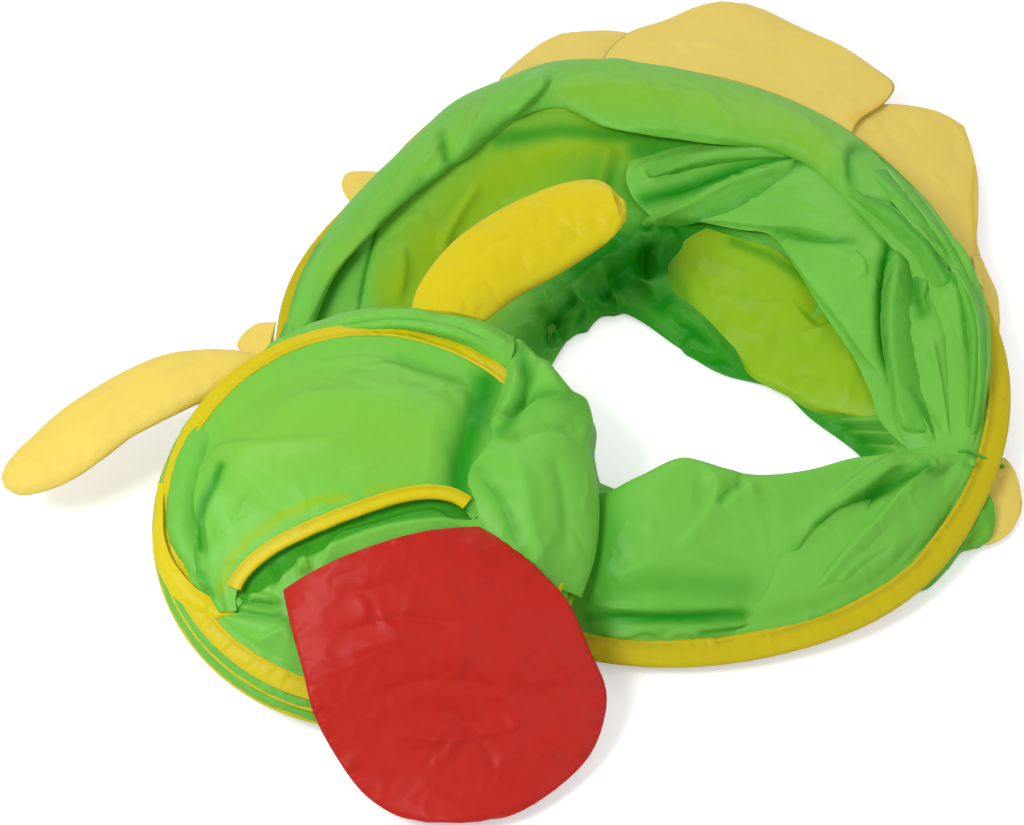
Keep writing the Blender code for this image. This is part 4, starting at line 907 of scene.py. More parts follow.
RIM_FOLDS = (
    (8, 9, ((482, 91), (476, 110), (470, 129), (462, 146), (452, 166)), -1),
    (-6, 5, ((441, 136), (446, 152), (451, 166))),
    (4, 6, ((441, 138), (430, 158), (412, 176)), 1),
    (-4, 8, ((410, 150), (388, 185), (362, 222))),
    (-6, 3, ((318, 244), (301, 272), (289, 305), (281, 335))),
    (5, 6, ((322, 240), (306, 268), (294, 305), (286, 335)), -1),
    (4, 3, ((284, 320), (287, 334), (290, 345)), -1),
    (-4, 3, ((292, 322), (294, 334), (297, 345))),
    (4, 6, ((330, 240), (318, 276), (306, 320))),
    (10, 8, ((548, 68), (540, 88), (528, 100), (510, 118)), 1),
    (3, 6, ((600, 66), (622, 64), (636, 76))),
    (4, 12, ((636, 68), (652, 100), (682, 134)), 1),
    (4, 12, ((560, 90), (620, 84), (690, 100)), -1),
    (4, 8, ((700, 84), (720, 110), (745, 138))),
    (5, 7, ((620, 124), (700, 134), (792, 148)), -1),
    (5, 8, ((760, 100), (800, 118), (838, 146)), 1),
    (6, 8, ((856, 138), (845, 150), (844, 172), (848, 188)), 1),
    (-4, 6, ((866, 146), (850, 152), (850, 176), (854, 190))),
    (10, 7, ((849, 188), (866, 200), (891, 211), (910, 231), (927, 247), (938, 267), (957, 288), (963, 320)), 1),
    (6, 5, ((862, 206), (877, 211), (899, 228), (916, 240), (932, 258)), 1),
    (10, 6, ((862, 160), (885, 184), (899, 200), (913, 216), (927, 231), (941, 247), (955, 261), (966, 300),
             (971, 319), (973, 369), (967, 419), (963, 446)), -1),
    (8, 5, ((877, 153), (899, 180), (921, 206), (943, 239), (957, 264), (968, 286), (978, 308), (981, 331),
            (981, 369), (978, 403), (974, 425), (966, 446)), -1),
    (-5, 3, ((960, 300), (966, 335), (967, 380), (964, 430))),
)
# Folds of the rim that lie over each other, each from its hidden edge to its free edge and back under it
RIM_STRIPS = (
    ("rim_lap_inner", (
        ((848, 183, -1), (848, 186, 3), (845, 189, 3), (842, 188, -2)),
        ((869, 196, -1), (867, 200, 4), (861, 203, 3), (855, 202, -2)),
        ((894, 208, -1), (891, 211, 5), (884, 218, 4), (877, 222, -2)),
        ((913, 228, -1), (910, 231, 5), (903, 236, 4), (894, 240, -2)),
        ((930, 244, -1), (927, 247, 5), (920, 252, 4), (911, 257, -2)),
        ((942, 264, -1), (938, 267, 5), (931, 271, 4), (922, 277, -2)),
        ((956, 284, -1), (952, 288, 4), (945, 293, 3), (935, 298, -2)),
    ), 171, (0.8, 0)),
    ("rim_lap_middle", (
        ((874, 155, 0), (868, 158, 3), (861, 163, 5), (857, 166, -2)),
        ((898, 180, 0), (892, 181, 3), (885, 184, 5), (881, 188, -2)),
        ((920, 206, 0), (910, 204, 3), (900, 203, 5), (896, 207, -2)),
        ((931, 222, 0), (922, 220, 3), (913, 218, 5), (908, 222, -2)),
        ((942, 240, 0), (935, 236, 3), (926, 232, 5), (921, 236, -2)),
        ((955, 264, 0), (949, 257, 3), (941, 249, 5), (936, 252, -2)),
        ((966, 286, 0), (961, 275, 3), (954, 264, 5), (949, 266, -2)),
        ((976, 308, 0), (972, 304, 3), (965, 300, 5), (960, 301, -2)),
        ((980, 331, 0), (976, 331, 3), (971, 331, 5), (966, 331, -2)),
        ((981, 369, 0), (977, 369, 3), (972, 369, 5), (967, 369, -2)),
        ((977, 403, 0), (973, 401, 3), (969, 399, 4), (965, 399, -2)),
        ((973, 425, 0), (969, 422, 3), (965, 421, 4), (961, 421, -2)),
        ((967, 446, 0), (965, 445, 2), (963, 445, 3), (960, 445, -2)),
    ), 173, (0.8, 0)),
    ("rim_lap_outer", (
        ((857, 139, -2), (866, 145, 2), (877, 153, 5), (874, 157, -1)),
        ((880, 156, -2), (890, 167, 3), (899, 180, 7), (895, 183, 0)),
        ((905, 178, -2), (914, 190, 3), (921, 206, 7), (917, 209, 0)),
        ((930, 209, -2), (938, 222, 3), (943, 239, 7), (938, 241, 0)),
        ((954, 246, -2), (956, 254, 4), (953, 260, 7), (948, 262, 0)),
        ((971, 281, -2), (971, 284, 4), (966, 286, 7), (961, 288, 0)),
        ((981, 308, -2), (981, 308, 4), (977, 309, 7), (972, 310, 0)),
        ((986, 332, -2), (985, 331, 4), (981, 331, 7), (976, 332, 0)),
        ((986, 369, -2), (985, 369, 4), (981, 369, 7), (976, 369, 0)),
        ((984, 400, -2), (982, 401, 4), (978, 403, 6), (973, 403, 0)),
        ((981, 426, -2), (979, 426, 3), (974, 425, 5), (970, 425, 0)),
        ((975, 450, -1), (972, 448, 2), (968, 446, 4), (964, 446, 0)),
    ), 175, (0.8, 0)),
    ("rim_lap_left", (
        ((531, 72, -7), (541, 70, 1), (551, 73, 5), (555, 77, -2)),
        ((514, 82, -8), (527, 83, 2), (541, 89, 7), (546, 93, -2)),
        ((497, 89, -9), (512, 94, 2), (528, 101, 7), (532, 106, -2)),
        ((476, 98, -9), (493, 108, 2), (508, 119, 6), (511, 124, -2)),
        ((458, 114, -9), (474, 124, 1), (488, 134, 5), (490, 139, -2)),
        ((440, 134, -9), (452, 145, 1), (463, 157, 4), (463, 162, -2)),
    ), 177, (0, 0)),
)


def build_rim():
    grid = laid(RIM_ROWS, 90, 860, RIM_FOLDS)
    pixels = seen(grid)
    tight = np.clip((pixels[..., 0] - 860) / 90, 0, 1)
    grid = buckled(grid, 0.008, 0.012 + 0.02 * tight, held_edges(grid, 0.01, 0.02, 0.1, 0.1), 21)
    # Painted light along the rim's top and left, and painted shade in its folds
    painted_light = strokes(pixels, (
        (0.45, 24, ((580, 90), (640, 92), (700, 100), (760, 112), (820, 144))),
        (0.25, 16, ((330, 270), (370, 220), (420, 170), (480, 110))),
    ))
    deep = painted_fold_shade(grid, pixels, (
        (0.4, 7, ((864, 146), (850, 154), (850, 176), (854, 190))),
        (0.7, 4, ((866, 198), (891, 209), (911, 229), (928, 245), (940, 265), (959, 286), (966, 320))),
        (0.6, 3, ((899, 203), (927, 234), (953, 262), (964, 300), (969, 345), (969, 390), (964, 440))),
        (0.5, 4, ((318, 244), (301, 272), (289, 305), (281, 335))),
        (0.5, 6, ((441, 136), (444, 152), (450, 166))),
        (0.4, 6, ((420, 180), (396, 205), (380, 222))),
    ), 0.0035, 0.6)
    cloth("rim_roll", grid, UPPER, "gathered", "top_hoop_casing_cloth", painted_light=painted_light, deep=deep)
    build_laps(RIM_STRIPS, "rim_roll", grid, 24, 240, 0.0005)


def build_strip():
    """A short stretch of the wall below the rim's crossing, made pale with painted light, with its bound seam, darkened
    with painted shade.
    """
    grid = laid((
        ((498, 130, 78), (506, 118, 86), (516, 106, 92)),
        ((522, 126, 79), (526, 114, 87), (534, 102, 93)),
        ((548, 120, 80), (550, 112, 87), (556, 104, 93)),
        ((580, 114, 82), (580, 111, 88), (582, 108, 93)),
    ), 24, 60)
    cloth("pale_strip", crumpled(grid, 0.0008, 0.04, 25), UPPER, "draped", "rim_roll", painted_light=0.6)
    grid = laid((
        ((497, 132, 77), (498, 129, 81), (500, 126, 79), (504, 120, 77)),
        ((522, 128, 78), (522, 125, 82), (523, 121, 80), (525, 114, 79)),
        ((548, 122, 79), (548, 119, 83), (549, 115, 81), (551, 109, 80)),
        ((580, 116, 81), (580, 113, 84), (580, 109, 83), (581, 105, 82)),
    ), 12, 90)
    cloth("strip_seam", grid, UPPER, "draped", "rim_roll", slot=YELLOW, deep=0.8)


# The folded sheet that runs from the pinch on the far side down to the knot
FOLD_ROWS = (
    ((636, 150, 66), (626, 176, 66), (632, 196, 58), (646, 212, 50), (660, 224, 42)),
    ((700, 142, 76), (694, 162, 80), (692, 184, 74), (690, 202, 62), (688, 222, 50)),
    ((752, 148, 80), (756, 162, 90), (752, 182, 88), (746, 204, 74), (738, 230, 58)),
    ((800, 156, 82), (804, 168, 96), (798, 192, 95), (788, 214, 84), (772, 236, 64)),
    ((842, 182, 84), (840, 198, 97), (830, 222, 97), (816, 246, 86), (796, 268, 66)),
    ((880, 226, 82), (872, 240, 95), (858, 262, 95), (842, 284, 84), (818, 304, 66)),
    ((916, 258, 78), (904, 270, 90), (884, 288, 88), (862, 316, 80), (838, 334, 64)),
    ((942, 300, 72), (930, 310, 83), (906, 322, 80), (876, 348, 74), (854, 358, 58)),
    ((956, 352, 64), (946, 358, 75), (924, 368, 73), (894, 382, 66), (870, 392, 52)),
    ((962, 404, 54), (956, 408, 63), (936, 414, 61), (908, 422, 54), (884, 426, 44)),
    ((964, 446, 46), (962, 448, 52), (952, 450, 51), (934, 452, 46), (912, 452, 38)),
)
FOLD_FOLDS = (
    (10, 8, ((634, 180), (650, 180), (683, 170), (711, 161), (738, 157), (772, 155), (797, 156)), -1),
    (-9, 7, ((642, 200), (680, 190), (730, 172), (770, 164), (798, 158))),
    (11, 9, ((636, 226), (666, 215), (691, 204), (725, 185), (766, 169), (799, 158)), -1),
    (-10, 7, ((700, 201), (725, 189), (766, 174), (800, 162))),
    (8, 11, ((662, 222), (711, 221), (766, 226), (799, 228), (849, 232)), -1),
    (-6, 5, ((778, 232), (812, 238), (852, 240))),
    (6, 8, ((776, 236), (794, 259), (813, 286), (844, 325), (866, 355), (887, 380)), -1),
    (-14, 6, ((891, 236), (886, 264), (882, 297), (882, 331), (885, 355), (891, 380))),
    (9, 7, ((901, 240), (897, 264), (891, 297), (889, 331), (891, 358), (897, 386), (899, 419), (907, 447)), -1),
    (-9, 8, ((905, 262), (914, 275), (915, 295), (921, 312))),
    (7, 6, ((915, 262), (925, 280), (922, 300), (930, 316)), 1),
    (6, 5, ((902, 383), (919, 412), (936, 446)), 1),
    (-5, 4, ((909, 380), (927, 410), (943, 446))),
    (5, 6, ((930, 330), (941, 390), (950, 446)), 1),
    (-5, 5, ((950, 330), (954, 390), (957, 446))),
    (5, 6, ((850, 250), (862, 262), (866, 278)), 1),
    (4, 9, ((720, 180), (750, 200), (790, 205)), 1),
)
# Folds of the sheet that fan out from the pinch, and the long one down to the knot
FOLD_LOBES = (
    ("fold_lobe_upper", (
        ((798, 153, -1), (798, 154, 3), (798, 156, 3), (798, 158, -2)),
        ((760, 150, -1), (760, 152, 4), (760, 156, 5), (760, 160, -2)),
        ((722, 147, -1), (722, 151, 4), (722, 158, 6), (722, 165, -2)),
        ((690, 148, -1), (690, 154, 4), (690, 163, 6), (690, 171, -2)),
        ((662, 154, -1), (662, 161, 4), (662, 170, 6), (664, 178, -2)),
        ((640, 164, -1), (640, 169, 3), (642, 176, 4), (646, 182, -2)),
    ), 181, (0, 0.7)),
    ("fold_lobe_lower", (
        ((800, 157, -2), (800, 158, 3), (800, 161, 3), (800, 165, -1)),
        ((765, 164, -2), (766, 168, 6), (766, 178, 6), (766, 192, -1)),
        ((726, 178, -2), (728, 184, 7), (730, 196, 6), (732, 212, -1)),
        ((692, 196, -2), (694, 202, 7), (696, 212, 6), (700, 222, -1)),
        ((664, 210, -2), (666, 215, 6), (668, 221, 5), (672, 228, -1)),
        ((640, 220, -2), (642, 223, 4), (645, 226, 4), (650, 230, -1)),
    ), 183, (0, 0.7)),
    ("fold_run", (
        ((890, 250, -2), (897, 252, 5), (906, 256, 4), (914, 262, -1)),
        ((884, 276, -2), (892, 278, 7), (902, 282, 5), (912, 288, -1)),
        ((881, 304, -2), (889, 305, 7), (899, 308, 5), (911, 313, -1)),
        ((881, 332, -2), (889, 332, 7), (900, 334, 5), (913, 338, -1)),
        ((884, 358, -2), (892, 358, 7), (903, 360, 5), (917, 364, -1)),
        ((888, 386, -2), (896, 385, 7), (908, 387, 5), (924, 391, -1)),
        ((893, 414, -2), (901, 413, 6), (914, 415, 4), (930, 419, -1)),
        ((906, 440, -1), (912, 440, 3), (922, 441, 3), (936, 443, -1)),
    ), 185, (0, 0.7)),
)


def build_fold():
    grid = laid(FOLD_ROWS, 140, 560, FOLD_FOLDS)
    pixels = seen(grid)
    tight = np.clip((pixels[..., 1] - 280) / 170, 0, 1)
    grid = buckled(grid, 0.008, 0.012 + 0.05 * tight, held_edges(grid, 0.02, 0.02, 0.05, 0.03), 31)
    # Painted shade in the sheet's furrows and grooves, and where it lies deep
    deep = painted_fold_shade(grid, pixels, (
        (0.9, 9, ((645, 200), (680, 191), (730, 173), (796, 158))),
        (0.8, 6, ((702, 202), (740, 184), (798, 162))),
        (0.9, 6, ((890, 238), (885, 264), (881, 297), (882, 331), (885, 355), (891, 380))),
        (0.7, 8, ((906, 262), (915, 278), (917, 297), (921, 312))),
        (0.5, 5, ((778, 233), (812, 239), (852, 241))),
    ), 0.0035, 0.6)
    cloth("folded_sheet", grid, UPPER, "gathered", "rim_roll", deep=deep)
    build_laps(FOLD_LOBES, "folded_sheet", grid, 30, 200, 0.0006)


# The thin panel on the inner wall that light shows through
PANEL_ROWS = (
    ((656, 266, 18), (660, 264, 27), (674, 250, 36), (688, 238, 42), (706, 228, 48)),
    ((665, 287, 15), (669, 284, 25), (695, 266, 37), (718, 250, 45), (745, 240, 53)),
    ((680, 305, 13), (684, 302, 22), (715, 286, 36), (745, 266, 46), (775, 250, 56)),
    ((696, 321, 12), (700, 318, 21), (735, 304, 35), (772, 288, 46), (800, 270, 57)),
    ((716, 341, 11), (720, 338, 19), (757, 326, 33), (795, 311, 45), (828, 298, 56)),
    ((738, 361, 10), (742, 358, 17), (780, 348, 31), (818, 337, 43), (850, 328, 53)),
    ((754, 379, 10), (758, 376, 18), (800, 372, 33), (838, 363, 45), (870, 356, 54)),
    ((788, 397, 10), (792, 394, 19), (825, 394, 32), (856, 388, 43), (884, 380, 51)),
    ((814, 412, 10), (818, 409, 19), (845, 410, 30), (868, 406, 39), (892, 400, 46)),
    ((842, 419, 12), (845, 416, 20), (862, 418, 29), (878, 418, 35), (893, 416, 41)),
)
PANEL_FOLDS = (
    (5, 12, ((692, 262), (708, 280), (716, 300))),
    (-4, 12, ((700, 250), (722, 262), (752, 270))),
    (5, 14, ((716, 320), (745, 330), (778, 336))),
    (6, 9, ((795, 338), (820, 330), (845, 320)), 1),
    (-7, 12, ((806, 320), (818, 308), (828, 300))),
    (-4, 12, ((735, 290), (760, 300), (790, 296))),
    (4, 9, ((846, 326), (850, 352), (846, 380), (852, 404))),
    (-5, 10, ((784, 384), (806, 374), (826, 384))),
    (4, 12, ((700, 300), (730, 306), (760, 322))),
)


def build_panel():
    grid = laid(PANEL_ROWS, 110, 220, PANEL_FOLDS)
    grid = buckled(grid, 0.010, 0.012, held_edges(grid, 0.05, 0.05, 0.05, 0.05), 41)
    # The panel is painted light nearly all over, as light shows through it, with painted shade along two folds
    painted_light = np.clip(0.9 + 0.1 * field(grid, 0.05, 4), 0, 1)
    deep = painted_fold_shade(grid, seen(grid), (
        (0.5, 9, ((668, 262), (690, 310), (712, 344))),
        (0.6, 6, ((733, 242), (770, 256), (812, 283), (842, 326), (868, 372))),
    ), 0.004, 0.5)
    cloth("inner_panel", grid, UPPER, "draped", "wall_cloth", painted_light=painted_light, deep=deep)


def build_lower():
    """The lower sleeve's wall, from the middle hoop's casing down to the base hoop's and in to the hole."""
    angles = np.linspace(-math.pi, math.pi, 480, endpoint=False)
    inner = hole_edge(angles)
    top = body_line(MIDDLE, angles, 0.012, -0.0066)
    foot = body_line(BASE, angles, 0.030, 0.0)
    first = top[:, 2] - np.minimum(top[:, 2] - 0.004, 0.020)
    lines = [top]
    for share, height in ((0.22, first), (0.55, 0.0046), (0.93, 0.0040), (0.96, 0.0024)):
        lines.append(between(top, inner, share, height))
    for share in (0.5, 0.12):
        lines.append(between(foot, inner, share, 0.0013))
    lines += [foot, body_line(BASE, angles, 0.016, 0.0)]
    grid = raised(across_lines(lines, 90) + RING, CLOTH_FOOT)
    carrier = ("base", "middle", MIDDLE[1], -0.011, -0.007)
    # The lower sleeve is painted in shade all over
    cloth("lower_cloth", grid, carrier, "gathered", "floor", ("lower_sleeve",), closed=True, deep=0.3)


# A bulge of the lower sleeve that shows below the band at the near right
SIDE_ROWS = (
    ((900, 590, 22), (903, 592, 15), (906, 595, 8), (908, 592, 3)),
    ((918, 576, 24), (924, 582, 17), (928, 588, 9), (924, 588, 3)),
    ((934, 560, 26), (942, 566, 20), (947, 570, 11), (940, 570, 3)),
    ((950, 544, 28), (957, 549, 22), (961, 553, 13), (956, 555, 3)),
    ((962, 524, 31), (974, 534, 26), (978, 546, 15), (970, 550, 3)),
    ((972, 506, 34), (986, 520, 30), (991, 536, 18), (982, 546, 3)),
    ((980, 494, 36), (992, 506, 31), (995, 520, 20), (990, 530, 4)),
    ((984, 486, 37), (989, 492, 34), (992, 500, 26), (990, 506, 12)),
)


def build_side():
    grid = laid(SIDE_ROWS, 40, 140, (
        (3, 5, ((960, 540), (975, 525), (985, 505))),
        (-3, 4, ((950, 552), (970, 540), (988, 525))),
    ))
    grid = raised(buckled(grid, 0.04, 0.03, held_edges(grid, 0.05, 0.05, 0.1, 0.1), 53, coarse=2), SIDE_FOOT)
    # A stroke of painted light along the bulge, and painted shade all over it
    painted_light = strokes(seen(grid), ((0.4, 10, ((960, 545), (985, 530))),))
    cloth("side_bulge", grid, "middle", "gathered", "middle_hoop_casing_cloth", painted_light=painted_light, deep=0.35)


# The head

def dome(x, y):
    """The face's height over its hoop."""
    return DOME_HEIGHT * (1 - (x * x + y * y) / FRONT_RADIUS**2)


def face_spot(across, up):
    """Places on the face, from the distances across it and up it."""
    x = across * math.cos(FACE_TURN) - up * math.sin(FACE_TURN)
    y = across * math.sin(FACE_TURN) + up * math.cos(FACE_TURN)
    return np.stack([x, y, dome(x, y)], -1)


def lip(share, top, corner, fullness):
    """A lip's line at shares of its length, from its height in the middle and at its corners."""
    side = 2 * np.asarray(share) - 1
    arch = (1 - np.abs(side) ** (2 * fullness)) ** (1 / fullness)
    return face_spot(MOUTH_CENTRE + MOUTH_HALF * side, corner + (top - corner) * arch)


def panel(top, corner, fullness, start, end, swell):
    """A face panel from the front casing to a lip, in the head's space."""
    share = np.linspace(0, 1, 300)
    angles = start + (end - start) * share
    edge = lip(share, top, corner, fullness)
    leave = hoop_points(angles, 0.0175, 0.001, FRONT_RADIUS, HEAD_LEG_TILT)
    lines = [hoop_points(angles, 0.0090, 0, FRONT_RADIUS, HEAD_LEG_TILT), leave]
    for part in np.arange(1, 8) / 8:
        spot = leave + (edge - leave) * part
        ease = min(1, part * 2.6)
        ease = ease * ease * (3 - 2 * ease)
        height = leave[:, 2] * (1 - ease) + dome(spot[:, 0], spot[:, 1]) * ease
        height = height + swell * math.sin(math.pi * min(1, part * 1.4)) ** 2
        lines.append(np.stack([spot[:, 0], spot[:, 1], height], -1))
    lines.append(edge)
    return across_lines(lines, 80)


FACE_FOLDS = (
    (7, 9, ((200, 478), (208, 462), (220, 450), (260, 444), (310, 440), (350, 434), (364, 420)), 1),
    (-10, 6, ((222, 462), (214, 480), (203, 500), (197, 520), (199, 545), (204, 566))),
    (7, 9, ((180, 522), (188, 535), (194, 552), (200, 574), (212, 594)), 1),
    (6, 7, ((228, 470), (220, 490), (208, 508), (208, 530), (214, 552))),
    (5, 9, ((240, 395), (280, 375), (320, 364), (370, 360), (400, 368), (440, 378), (490, 394)), 1),
    (-4, 7, ((380, 352), (410, 362), (450, 376))),
    (4, 8, ((270, 410), (310, 396), (350, 392), (380, 396)), 1),
    (-10, 14, ((478, 388), (470, 420), (462, 460), (460, 510))),
    (4, 12, ((440, 400), (432, 440), (428, 480))),
    (-4, 9, ((178, 500), (186, 545), (206, 585))),
)
CHIN_FOLDS = (
    (6, 5, ((219, 600), (243, 597), (269, 597), (282, 604)), 1),
    (-5, 3, ((240, 602), (262, 604), (280, 607))),
    (4, 4, ((236, 606), (258, 611), (284, 615)), -1),
    (5, 8, ((250, 640), (270, 635), (294, 622)), 1),
    (5, 7, ((314, 582), (324, 560), (340, 537), (370, 528), (420, 514), (437, 514), (462, 530)), 1),
    (5, 5, ((290, 548), (300, 560), (300, 575))),
    (-5, 4, ((270, 560), (276, 575), (272, 590))),
    (4, 4, ((308, 545), (306, 562), (312, 572)), 1),
)


def build_face():
    """The face above the mouth, and the chin below it, whose cloth runs on inside under the upper lip."""
    drop = math.asin(MOUTH_CORNER / FRONT_RADIUS)
    left = FACE_TURN + math.pi - drop
    right = FACE_TURN + drop
    turn = MOUTH_SPLIT / FRONT_RADIUS
    grid = moved(head_frame(0), panel(UPPER_LIP, MOUTH_CORNER, 2, left - turn, right + turn, 0.006))
    grid = crumpled(folded(grid, FACE_FOLDS), 0.0016, 0.12, 61)
    pixels = seen(grid)
    # Painted light along the lip's edge and across the face
    painted_light = strokes(pixels, (
        (0.9, 5, ((221, 590), (230, 562), (249, 538), (285, 514), (318, 500), (345, 497))),
        (0.6, 6, ((370, 490), (400, 488), (430, 489))),
        (0.25, 60, ((260, 430), (330, 420), (400, 440))),
    ))
    # Painted shade beside the neck fold, in the face's left folds and along its upper edge
    deep = strokes(pixels, (
        (0.95, 17, ((486, 384), (476, 420), (464, 455), (458, 500))),
        (0.8, 5, ((221, 466), (214, 482), (204, 502), (198, 522), (201, 548))),
        (0.5, 5, ((190, 540), (198, 570), (213, 594))),
        (0.3, 6, ((400, 360), (440, 374), (490, 390))),
    ))
    carried = "head_front", "stretched", "head_front_hoop_casing_cloth"
    cloth("face_cloth", grid, *carried, ("face_panel",), painted_light=painted_light, deep=deep)
    low = MOUTH_CORNER - MOUTH_SPLIT
    share = np.linspace(0, 1, 300)
    edge = lip(share, LOWER_LIP, low, 1)
    inside = lip(share, UPPER_LIP + 0.014, MOUTH_CORNER + 0.006, 2)
    tuck = [edge]
    for part, drop in ((0.15, 0.0050), (0.4, 0.0095), (0.7, 0.0110), (1, 0.0110)):
        tuck.append(edge + (inside - edge) * part - np.array([0, 0, drop]))
    outside = panel(LOWER_LIP, low, 1, left + turn, right + math.tau - turn, 0.004)
    grid = moved(head_frame(0), np.concatenate([outside, across_lines(tuck, 40)[:, 1:]], axis=1))
    grid = folded(grid, CHIN_FOLDS)
    grid = buckled(grid, 0.02, 0.02, held_edges(grid, 0.03, 0.03, 0.05, 0.05), 63, coarse=2)
    # The chin's cloth inside the mouth is painted in shade, with painted shade along its creases
    inner = np.clip((np.arange(grid.shape[1])[None, :] - 80) / 6, 0, 1)
    deep = np.maximum(inner * 0.75, strokes(seen(grid), (
        (0.5, 4, ((243, 601), (262, 602), (278, 604))),
        (0.5, 5, ((240, 612), (262, 616), (284, 619))),
        (0.6, 12, ((345, 572), (400, 552), (450, 536))),
    )))
    cloth("chin_cloth", grid, *carried, ("chin_panel",), deep=np.clip(deep, 0, 1))


EDGE_ROWS = (
    ((196, 412, -4), (200, 414, 0), (210, 420, 2), (228, 430, -4)),
    ((190, 428, 3), (194, 430, 9), (204, 436, 12), (222, 445, 4)),
    ((183, 440, 3), (187, 441, 11), (198, 446, 16), (218, 454, 6)),
    ((174, 462, 3), (178, 463, 11), (190, 466, 17), (212, 470, 6)),
    ((168, 487, 3), (172, 487, 11), (184, 488, 17), (208, 490, 6)),
    ((165, 512, 3), (169, 512, 11), (181, 510, 17), (204, 508, 6)),
    ((168, 540, 3), (172, 538, 11), (184, 533, 16), (204, 524, 6)),
    ((182, 567, 3), (186, 564, 11), (195, 556, 15), (210, 544, 6)),
    ((199, 588, 3), (202, 584, 11), (208, 576, 14), (218, 564, 6)),
    ((212, 598, -2), (214, 594, 4), (218, 586, 6), (226, 576, 0)),
)
TURN_ROWS = (
    ((158, 482, -3), (161, 483, 0), (164, 484, 2)),
    ((155, 512, 3), (159, 512, 9), (163, 512, 11)),
    ((153, 538, 3), (158, 537, 10), (164, 535, 12)),
    ((156, 563, 3), (162, 559, 11), (170, 555, 13)),
    ((165, 584, 3), (172, 578, 12), (180, 571, 14)),
    ((180, 602, 4), (188, 596, 13), (196, 588, 14)),
    ((200, 614, 6), (208, 608, 13), (216, 600, 13)),
    ((222, 620, 8), (228, 616, 12), (234, 611, 12)),
    ((243, 621, 3), (245, 620, 4), (247, 619, 4)),
)
FLAP_ROWS = (
    ((214, 600, 9), (222, 596, 15), (244, 593, 17), (268, 594, 17), (284, 600, 16)),
    ((220, 604, 10), (228, 601, 17), (246, 600, 19), (268, 601, 19), (286, 606, 17)),
    ((232, 610, 10), (240, 608, 16), (252, 609, 18), (270, 610, 18), (288, 614, 16)),
    ((244, 618, 8), (250, 617, 12), (260, 618, 14), (274, 619, 14), (290, 621, 13)),
)


def build_turns():
    """The face's edge, which laps over its casing on the left, a second turn of the casing below it, and a flap."""
    for name, rows, slot, seed in (
        ("face_edge", EDGE_ROWS, GREEN, 161),
        ("casing_turn", TURN_ROWS, YELLOW, 163),
        ("chin_flap", FLAP_ROWS, GREEN, 165),
    ):
        grid = crumpled(laid(rows, 40, 150, matrix=head_frame(0)), 0.0006, 0.03, seed)
        # A little painted shade all over
        cloth(name, grid, "head_front", "folded", "head_front_hoop_casing_cloth", slot=slot, deep=0.05)


def build_binding():
    """The yellow binding folded over the upper lip."""
    count = 400
    edge = lip(np.linspace(0.03, 0.985, count), UPPER_LIP, MOUTH_CORNER, 2)
    ahead = np.gradient(edge, axis=0)
    ahead /= np.linalg.norm(ahead, axis=1, keepdims=True)
    lift = np.stack([edge[:, 0], edge[:, 1], np.full(count, FRONT_RADIUS**2 / (2 * DOME_HEIGHT))], 1)
    lift /= np.linalg.norm(lift, axis=1, keepdims=True)
    inner = np.cross(lift, ahead)
    if inner[count // 2, 1] > 0:
        inner = -inner
    half = (
        (-0.0125, 0.0020), (-0.0122, 0.0030), (-0.0095, 0.0024), (-0.0040, 0.0032), (0.0010, 0.0034),
        (0.0034, 0.0020),
    )
    section = (*half, (0.0042, 0), *((a, -b) for a, b in reversed(half)))
    wave = field(edge, 0.02, 71)[:, None] * 0.0006
    rows = [edge + inner * (a + wave) + lift * (b + wave * 0.5) for a, b in section]
    grid = moved(head_frame(0), np.stack(rows, 1))
    # A line of painted shade along the binding's seam fold
    seam = np.where(np.arange(grid.shape[1]) == 2, 0.5, 0)
    thing = piece(
        "mouth_binding_cloth", grid, YELLOW, "head_front", ("mouth_binding",), deep=seam, loop=True, caps=True
    )


def build_pleat(name, replaced, bodies, lower, seed):
    """The slack sleeve between two of the head's hoops, seen between their casings."""
    angles = np.linspace(0, math.tau, 600, endpoint=False)
    below, above = head_frame(lower), head_frame(lower - 1)
    low_radius = FRONT_RADIUS + lower * HEAD_GROWTH
    high_radius = low_radius - HEAD_GROWTH
    low, bottom, top, tuck = (
        moved(matrix, hoop_points(angles, inward, lift, radius, HEAD_LEG_TILT))
        for matrix, inward, lift, radius in (
            (below, 0.012, 0.003, low_radius), (below, 0.0, 0.0058, low_radius),
            (above, -0.001, -0.0055, high_radius), (above, 0.014, -0.0045, high_radius),
        )
    )
    out = np.stack([np.cos(angles), np.sin(angles), angles * 0], -1)
    slack = 0.003 + 0.003 * field(out * 0.2, 0.06, seed)
    middle = (bottom + top) / 2 + out * slack[:, None]
    grid = crumpled(across_lines([low, bottom, middle, top, tuck], 26), 0.0012, 0.03, seed, True)
    carrier = (*bodies, below, 0.0075, 0.0125)
    # The pleat is painted lightly in shade all over
    cloth(name, grid, carrier, "gathered", "head_middle_hoop_casing_cloth", (replaced,), closed=True, deep=0.1)


